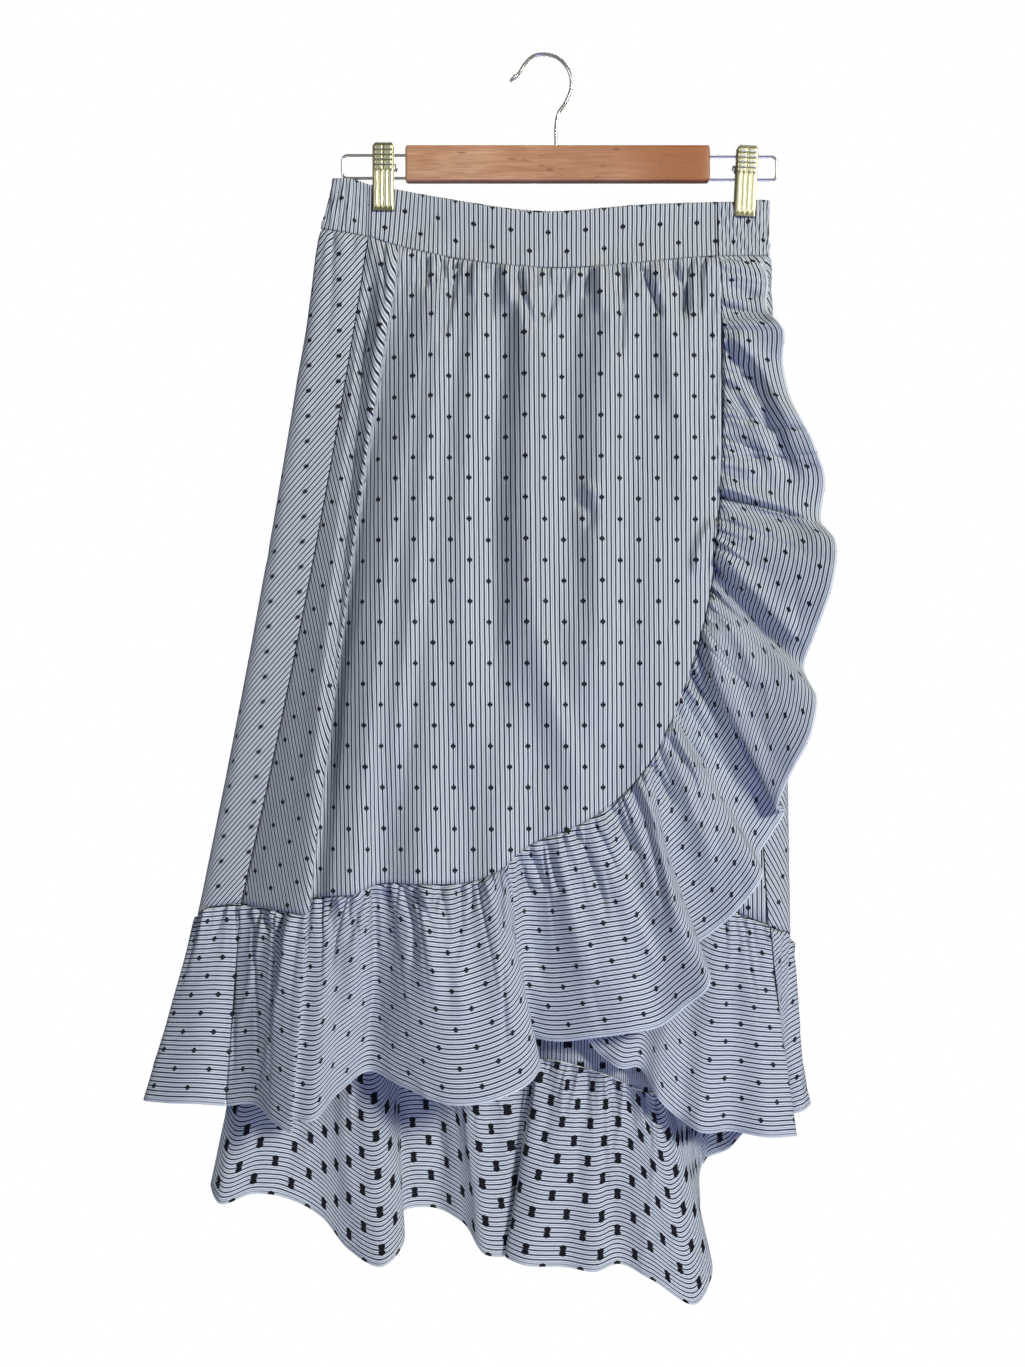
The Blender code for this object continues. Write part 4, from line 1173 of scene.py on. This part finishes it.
# %% The panels as shells
front_panel = shell(
    "cloth_front_panel",
    front_grid,
    front_pattern,
    edge_distances(NO_HEM + 0 * front_grid[..., 0], from_top(front_grid)),
    (right_side, wrong_side),
)
under_panel = shell(
    "cloth_under_panel",
    under_grid,
    under_pattern,
    edge_distances(NO_HEM + 0 * under_grid[..., 0], from_top(under_grid)),
    (right_side, wrong_side),
    turned=True,
)
back_panel = shell(
    "cloth_back_panel",
    back_grid,
    back_pattern,
    edge_distances(NO_HEM + 0 * back_grid[..., 0], from_top(back_grid)),
    (right_side, wrong_side),
    turned=True,
)

# %% [markdown]
# ## The ruffles
# A ruffle is a straight strip, gathered into the edge of a panel, so its hem is much longer than
# its seam. That is why it stands in big swinging folds. Its stripes run along the hem. The front
# ruffle goes along the front's foot, round the curved corner and up to the waistband.


# %% A ruffle's grid
def wrap_edge(grid):
    """The edge that a ruffle is sewn to: along the bottom, then up the last side."""
    return np.concatenate([grid[-1], grid[-2::-1, -1]])


def seam_stations(edge, x, y):
    """Lengths along an edge nearest to chart places, kept in order."""
    seen = chart(edge)
    measure = lengths(edge)
    stations = []
    first = 0
    for px, py in zip(x, y):
        away = np.hypot(seen[first:, 0] - px, seen[first:, 1] - py)
        first += int(np.argmin(away))
        stations.append(measure[first])
        first = min(first + 1, len(edge) - 2)
    stations[0], stations[-1] = 0.0, measure[-1]
    return np.array(stations)


def ruffle_grid(table, edge, columns, rows):
    """A strip from its seam to its hem: straight rules between them, closer rows near the seam."""
    seam_x, seam_y, hem_x, hem_y, hem_depth = np.array(table).T
    fine = along(edge, np.linspace(0, lengths(edge)[-1], 2400))
    stations = seam_stations(fine, seam_x, seam_y)
    hem = place(hem_x, hem_y, hem_depth)
    knots = lengths(hem)
    at = np.linspace(0, knots[-1], columns)
    station = np.interp(at, knots, stations)
    seam, hem = along(edge, station), smooth(knots, hem, at)
    start = seam + SEAM_GAP / 2 * unit(hem - seam)
    step = np.linspace(0, 1, rows)
    down = (step * (0.45 + 0.55 * step))[:, None, None]
    return start + (hem - start) * down, station


def gathered_ruffle(grid, station, seed, sign=1.0):
    """A ruffle with fine gathers crowded at its seam, and soft flutes that reach further down."""
    across = station[None, :] + 0 * grid[..., 0]
    below = from_top(grid)
    rise = puckers(across, below, 9.0, 3.6, 14.0, seed, 0.16, 0.26)
    rise += puckers(across, below, 15.0, 3.0, 44.0, seed + 1)
    rise += puckers(across, below, 31.0, 2.6, 100.0, seed + 2)
    rise += puckers(across, below, 13.0, -3.8, 40.0, seed + 3, 0.08, 0.16)
    return rumpled(grid + facing(grid) * (sign * rise)[..., None], 40.0, 0.6, seed + 4)


def blurred(values, reach):
    """A row of values, each replaced by the mean of its neighbours within reach columns."""
    padded = np.pad(values, reach, mode="edge")
    return np.convolve(padded, np.ones(2 * reach + 1) / (2 * reach + 1), mode="valid")


def ruffle_pattern(plain, grid):
    """Flat places on a ruffle: distance from the hem across the stripes, and length along the
    hem. The strip has one width, so the distance is counted from the hem. Distances are taken
    before the gathers are added, because a gather takes up length across, not down."""
    below = from_top(plain)
    total = blurred(below[-1], 12)
    share = below / below[-1:]
    hem = lengths(grid[-1])[None, :] + 0 * below
    crowding = np.gradient(from_left(grid), axis=1) / np.gradient(hem, axis=1)
    crowding = np.array([blurred(row, 6) for row in crowding])
    edges = edge_distances(below[-1:] - below, below, np.clip(crowding, 0.3, 1.5))
    return np.stack([(1 - share) * total, hem], axis=-1), edges


# %% The three ruffles
front_ruffle_grid, station = ruffle_grid(FRONT_RUFFLE, wrap_edge(front_grid), 760, 54)
plain_front_ruffle = front_ruffle_grid
front_ruffle_grid = gathered_ruffle(front_ruffle_grid, station, 51)
front_ruffle_grid = creased(front_ruffle_grid, RUFFLE_CREASES + RUFFLE_PLEATS, RUFFLE_GAIN)
front_ruffle_grid = before(front_ruffle_grid, under_grid)
under_ruffle_grid, station = ruffle_grid(UNDER_RUFFLE, wrap_edge(under_grid), 300, 44)
plain_under_ruffle = under_ruffle_grid
under_ruffle_grid = gathered_ruffle(under_ruffle_grid, station, 61, -1.0)
back_ruffle_grid, station = ruffle_grid(BACK_RUFFLE, back_grid[-1], 600, 54)
plain_back_ruffle = back_ruffle_grid
back_ruffle_grid = gathered_ruffle(back_ruffle_grid, station, 71, -1.0)
back_ruffle_grid = creased(back_ruffle_grid, BACK_RUFFLE_CREASES)

ruffles = {}
# The ruffles' finishes carry the painted shade of their bluer ground.
shaded_ruffle_finishes = (ruffle_right_side_shaded, ruffle_wrong_side_shaded)
for name, plain, grid, turned in (
    ("cloth_front_ruffle", plain_front_ruffle, front_ruffle_grid, False),
    ("cloth_under_ruffle", plain_under_ruffle, under_ruffle_grid, True),
    ("cloth_back_ruffle", plain_back_ruffle, back_ruffle_grid, True),
):
    pattern, edges = ruffle_pattern(plain, grid)
    print(name, "hem", round(lengths(grid[-1])[-1]), "seam", round(lengths(grid[0])[-1]), "mm")
    ruffles[name] = shell(name, grid, pattern, edges, shaded_ruffle_finishes, turned=turned)
front_ruffle = ruffles["cloth_front_ruffle"]
under_ruffle = ruffles["cloth_under_ruffle"]
back_ruffle = ruffles["cloth_back_ruffle"]

# %% [markdown]
# ## The hanger
# The bar is a rounded stick of wood. The hook and the two frames are bent wire: a circle carried
# along a path, with its ends closed. Each clip is a pressed plate with small pads above for the
# fingers and long ribs below, and a spring that shows at its side.


# %% A profile carried along a path
def tube(path, radii, sides=20):
    """Rings of points round a path. Each ring lies square to the path, and the first and last
    rings shrink to a point, so the ends are closed."""
    way = unit(np.gradient(path, axis=0))
    side = unit(np.cross(way, np.array([0.0, 1.0, 0.0]) + 0 * way))
    other = np.cross(side, way)
    turn = np.linspace(0, 2 * math.pi, sides, endpoint=False)
    ring = side[:, None] * np.cos(turn)[None, :, None] + other[:, None] * np.sin(turn)[None, :, None]
    return path[:, None] + ring * np.asarray(radii)[:, None, None]


def with_round_ends(path, radius):
    """A path with extra stations at both ends, whose radii follow a quarter circle to nothing."""
    turn = np.linspace(0, math.pi / 2, 7)
    rise, shrink = radius * np.sin(turn), radius * np.cos(turn)
    start_way, end_way = unit(path[0] - path[1]), unit(path[-1] - path[-2])
    head = path[0] + start_way * rise[::-1, None]
    foot = path[-1] + end_way * rise[:, None]
    points = np.concatenate([head[:-1], path, foot[1:]])
    radii = np.concatenate([shrink[::-1][:-1], np.full(len(path), radius), shrink[1:]])
    return points, np.maximum(radii, 1e-3)


def closed_surface(name, rings, finish):
    """Rings of points joined round and along, with each end ring closed by one face."""
    count, sides = rings.shape[:2]
    index = np.arange(count * sides).reshape(count, sides)
    after = np.roll(index, -1, axis=1)
    faces = np.stack([index[:-1], index[1:], after[1:], after[:-1]], axis=-1).reshape(-1, 4)
    ends = [index[0].tolist(), index[-1][::-1].tolist()]
    mesh = bpy.data.meshes.new(name)
    mesh.from_pydata((rings.reshape(-1, 3) * MM).tolist(), [], faces.tolist() + ends)
    mesh.shade_smooth()
    mesh.materials.append(finish)
    piece = bpy.data.objects.new(name, mesh)
    bpy.context.scene.collection.objects.link(piece)
    volume = 0.0
    for face in mesh.polygons:
        a, b, c = (mesh.vertices[corner].co for corner in face.vertices[:3])
        volume += a.dot(b.cross(c))
    if volume < 0:
        mesh.flip_normals()
    print(f"{name}: {len(mesh.polygons)} faces")
    return piece


# %% The bar
def bar_rings(low, high, rounding):
    """A rounded stick along X. Its cross section is a rounded rectangle, and near each end it
    shrinks by the same rounding."""
    turn = np.linspace(0, math.pi / 2, 7)
    half_deep, half_tall = (high[1] - low[1]) / 2, (high[2] - low[2]) / 2
    corner_y, corner_z = [], []
    for quarter, (sy, sz) in enumerate(((1, 1), (-1, 1), (-1, -1), (1, -1))):
        angle = turn + quarter * math.pi / 2
        corner_y.append(sy * (half_deep - rounding) + rounding * np.cos(angle))
        corner_z.append(sz * (half_tall - rounding) + rounding * np.sin(angle))
    y, z = np.concatenate(corner_y), np.concatenate(corner_z)
    inset = rounding * (1 - np.sin(turn))
    run = rounding * (1 - np.cos(turn))
    span = np.linspace(low[0] + rounding, high[0] - rounding, 40)[1:-1]
    x = np.concatenate([low[0] + run, span, (high[0] - run)[::-1]])
    shrink = np.concatenate([inset, np.zeros(len(span)), inset[::-1]])
    grow_y = (half_deep - shrink) / half_deep
    grow_z = (half_tall - shrink) / half_tall
    middle_z = (low[2] + high[2]) / 2
    return np.stack([
        np.broadcast_to(x[:, None], (len(x), len(y))),
        y[None, :] * grow_y[:, None],
        middle_z + z[None, :] * grow_z[:, None],
    ], axis=-1)


bar_low, bar_high = place(BAR_LEFT, BAR_LOW, 0.0), place(BAR_RIGHT, BAR_TOP, 0.0)
bar_low[1], bar_high[1] = -BAR_DEPTH / 2, BAR_DEPTH / 2
bar = closed_surface("bar", bar_rings(bar_low, bar_high, BAR_ROUND), wood)

# %% The hook
hook_path = np.array(HOOK)
hook_path = place(hook_path[:, 0], hook_path[:, 1], np.zeros(len(hook_path)))
knots = lengths(hook_path)
hook_path = smooth(knots, hook_path, np.linspace(0, knots[-1], 160))
hook_path, hook_radii = with_round_ends(hook_path, HOOK_WIRE / 2)
bead = hook_path[-12]
away = np.linalg.norm(hook_path - bead, axis=1)
bead_radius = np.sqrt(np.clip((HOOK_WIRE * 0.72) ** 2 - away**2, 0, None))
hook_radii = np.maximum(hook_radii, bead_radius)
hook = closed_surface("hook", tube(hook_path, hook_radii, 24), wire_plating)


# %% The wire frames
def rail_path(side):
    """The wire frame at one end of the bar: out, round two corners and back."""
    inner, outer, top, low = RAILS[side]
    way = 1 if outer > inner else -1
    start = inner - way * 6.0
    turn = outer - way * RAIL_CORNER
    angle = np.linspace(0, math.pi / 2, 12)
    upper_y = top + RAIL_CORNER * (1 - np.cos(angle))
    lower_y = low - RAIL_CORNER * (1 - np.sin(angle))
    upper = np.stack([turn + way * RAIL_CORNER * np.sin(angle), upper_y], axis=-1)
    lower = np.stack([turn + way * RAIL_CORNER * np.cos(angle), lower_y], axis=-1)
    spots = np.concatenate([[(start, top)], upper, lower, [(start, low)]])
    path = place(spots[:, 0], spots[:, 1], np.zeros(len(spots)))
    measure = lengths(path)
    return along(path, np.linspace(0, measure[-1], 150))


rails = {}
for side in RAILS:
    path, radii = with_round_ends(rail_path(side), RAIL_WIRE / 2)
    rails[side] = closed_surface(f"frame_{side}", tube(path, radii, 18), wire_plating)


# %% A clip's pressed plate
def plate_grid(length, columns=66, rows=130):
    """Places across and down a plate, and its relief. The plate narrows to a rounded top: half
    its width is the half width less what the corner's circle takes. Pads and ribs are smooth
    steps, and the two long sides bend back."""
    across = np.linspace(-1, 1, columns)[None, :]
    down = np.linspace(0, 1, rows)[:, None]
    z = length / 2 - down * length
    from_top_edge = np.clip(length / 2 - z, 0, CLIP_ROUND)
    half = CLIP_WIDTH / 2 - CLIP_ROUND + np.sqrt(CLIP_ROUND**2 - (CLIP_ROUND - from_top_edge) ** 2)
    x = across * half
    relief = np.zeros((rows, columns))
    for pad_x in (-3.9, 3.9):
        for pad in range(5):
            pad_z = length / 2 - 3.6 - pad * 4.15
            inside = soft_box((x - pad_x) / 2.7, (z - pad_z) / 1.35)
            relief += 0.75 * inside
    rib_top, rib_foot = length / 2 - 22.5, -length / 2 + 3.2
    for rib_x in (-6.0, -2.0, 2.0, 6.0):
        inside = soft_box((x - rib_x) / 1.15, (z - (rib_top + rib_foot) / 2) / ((rib_top - rib_foot) / 2))
        relief += 0.7 * inside
    bend = 2.6 * np.clip((np.abs(across) - 0.88) / 0.12, 0, 1) ** 2
    return x, np.broadcast_to(z, x.shape), relief - bend


def soft_box(x, z):
    """1 inside a unit box, 0 outside, with a narrow smooth step at its edges."""
    reach = np.maximum(np.abs(x), np.abs(z))
    t = np.clip((1.12 - reach) / 0.24, 0, 1)
    return t * t * (3 - 2 * t)


def clip_plate(name, side, sign):
    """One jaw of a clip. sign is -1 for the front jaw and 1 for the back one."""
    top, low, _ = CLIPS[side]
    head, foot = place(*top, 0.0), place(*low, 0.0)
    middle = (head + foot) / 2
    length = np.linalg.norm(head - foot)
    x, z, relief = plate_grid(length)
    up = unit(head - foot)
    right = np.array([up[2], 0.0, -up[0]])
    reach = sign * (CLIP_STANDOFF + CLIP_WALL / 2)
    grid = middle + x[..., None] * right + z[..., None] * up
    grid[..., 1] = reach + sign * relief
    flat = np.stack([x, z], axis=-1)
    edges = edge_distances(0 * x + NO_HEM, 0 * x + NO_HEM, relief)
    return shell(name, grid, flat, edges, (clip_plating_painted_light, clip_plating_painted_light), PLATE, turned=sign > 0)


clip_plates = {}
for side in CLIPS:
    clip_plates[side, "front"] = clip_plate(f"jaw_{side}_front", side, -1)
    clip_plates[side, "back"] = clip_plate(f"jaw_{side}_back", side, 1)


# %% The clips' springs
def spring_path(middle, radius, width, turns):
    """A coil round X: a circle in Y and Z whose centre moves along X."""
    angle = np.linspace(0, 2 * math.pi * turns, 36 * turns)
    x = middle[0] + np.linspace(-width / 2, width / 2, len(angle))
    return np.stack([x, middle[1] + radius * np.cos(angle), middle[2] + radius * np.sin(angle)], axis=-1)


springs = {}
for side, (top, low, rail) in CLIPS.items():
    seat = place(np.interp(rail, (top[1], low[1]), (top[0], low[0])), rail, 0.0)
    inner = 1 if side == "left" else -1
    middle = seat + (inner * 5.4, 0.0, 8.5)
    path, radii = with_round_ends(spring_path(middle, 2.9, 11.0, 7), 0.55)
    springs[side] = closed_surface(f"spring_{side}", tube(path, radii, 10), spring_steel)

# %% [markdown]
# ## Floor and light
# The skirt hangs before a plain white ground. The key light stands at the right front, so each
# fold is bright on its right and falls into a lavender shade on its left. A weaker one at the
# left, a blue one below and one behind keep the shade open.

# %% A plain pale floor
FLOOR_PLACE = (-0.03, 0, -1.36)
FLOOR_RADIUS = 0.66
bpy.ops.mesh.primitive_circle_add(
    vertices=96, radius=FLOOR_RADIUS, fill_type="NGON", location=FLOOR_PLACE
)
floor = bpy.context.active_object
floor.name = "floor"
floor_finish, tree, shader = new_material("pale_floor", (0.9, 0.9, 0.9), 0.9)
shader.inputs["Base Color"].default_value = (0.86, 0.86, 0.87, 1.0)
floor.data.materials.append(floor_finish)


# %% Lights
def soft_light(name, at, towards, size, power, colour):
    data = bpy.data.lights.new(name, "AREA")
    data.shape = "DISK"
    data.size = size
    data.energy = power
    data.color = colour
    lamp = bpy.data.objects.new(name, data)
    lamp.location = at
    way = np.array(towards) - np.array(at)
    flat = math.hypot(way[0], way[1])
    lamp.rotation_euler = (math.atan2(flat, -way[2]), 0.0, math.atan2(way[1], way[0]) - math.pi / 2)
    bpy.context.scene.collection.objects.link(lamp)


soft_light("key", (2.5, -3.9, 0.9), (0, 0, -0.55), 0.9, 178.0, (1.0, 0.985, 0.91))
soft_light("left", (-2.9, -3.3, 0.3), (0, 0, -0.55), 1.3, 24.0, (0.9, 0.93, 1.0))
soft_light("fill", (0.7, -1.7, -2.0), (0, 0, -0.95), 1.3, 15.0, (0.3, 0.36, 1.0))
soft_light("back", (0.6, 2.6, 0.6), (0, 0, -0.5), 1.6, 90.0, (0.9, 0.92, 1.0))

world = bpy.data.worlds.new("studio")
bpy.context.scene.world = world
world.use_nodes = True
tree = world.node_tree
tree.nodes.clear()
output = tree.nodes.new("ShaderNodeOutputWorld")
seen_ground = tree.nodes.new("ShaderNodeBackground")
seen_ground.inputs["Color"].default_value = (1.0, 1.0, 1.0, 1.0)
room = tree.nodes.new("ShaderNodeBackground")
room.inputs["Color"].default_value = (0.5, 0.57, 1.0, 1.0)
room.inputs["Strength"].default_value = 0.085
mirrored = tree.nodes.new("ShaderNodeBackground")
mirrored.inputs["Color"].default_value = (0.8, 0.79, 0.74, 1.0)
mirrored.inputs["Strength"].default_value = 0.28
path_kind = tree.nodes.new("ShaderNodeLightPath")
surround = tree.nodes.new("ShaderNodeMixShader")
tree.links.new(path_kind.outputs["Is Glossy Ray"], surround.inputs[0])
tree.links.new(room.outputs[0], surround.inputs[1])
tree.links.new(mirrored.outputs[0], surround.inputs[2])
choice = tree.nodes.new("ShaderNodeMixShader")
tree.links.new(path_kind.outputs["Is Camera Ray"], choice.inputs[0])
tree.links.new(surround.outputs[0], choice.inputs[1])
tree.links.new(seen_ground.outputs[0], choice.inputs[2])
tree.links.new(choice.outputs[0], output.inputs["Surface"])
bpy.context.scene.view_settings.view_transform = "Standard"
bpy.context.scene.view_settings.look = "None"

# %% [markdown]
# ## What each piece stands for
# Every piece rides on the model's one body. A cloth piece takes the place of its plain solid.

# %% Pieces, slots and the solids they replace
STANDS_FOR = (
    (front_waistband, "front_waistband", "fabric"),
    (back_waistband, "back_waistband", "fabric"),
    (front_panel, "front_panel", "fabric"),
    (under_panel, "under_panel", "fabric"),
    (back_panel, "back_panel", "fabric"),
    (front_ruffle, "front_ruffle", "fabric"),
    (under_ruffle, "under_ruffle", "fabric"),
    (back_ruffle, "back_ruffle", "fabric"),
    (bar, "hanger_bar", "wood"),
    (hook, "hanger_hook", "chrome"),
    (rails["left"], "hanger_rail_left", "chrome"),
    (rails["right"], "hanger_rail_right", "chrome"),
    (clip_plates["left", "front"], "clip_left_front", "chrome"),
    (clip_plates["left", "back"], "clip_left_back", "chrome"),
    (clip_plates["right", "front"], "clip_right_front", "chrome"),
    (clip_plates["right", "back"], "clip_right_back", "chrome"),
    (springs["left"], "clip_left_pivot", "chrome"),
    (springs["right"], "clip_right_pivot", "chrome"),
)
for piece, node, finish in STANDS_FOR:
    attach(piece, "root")
    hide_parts(node)
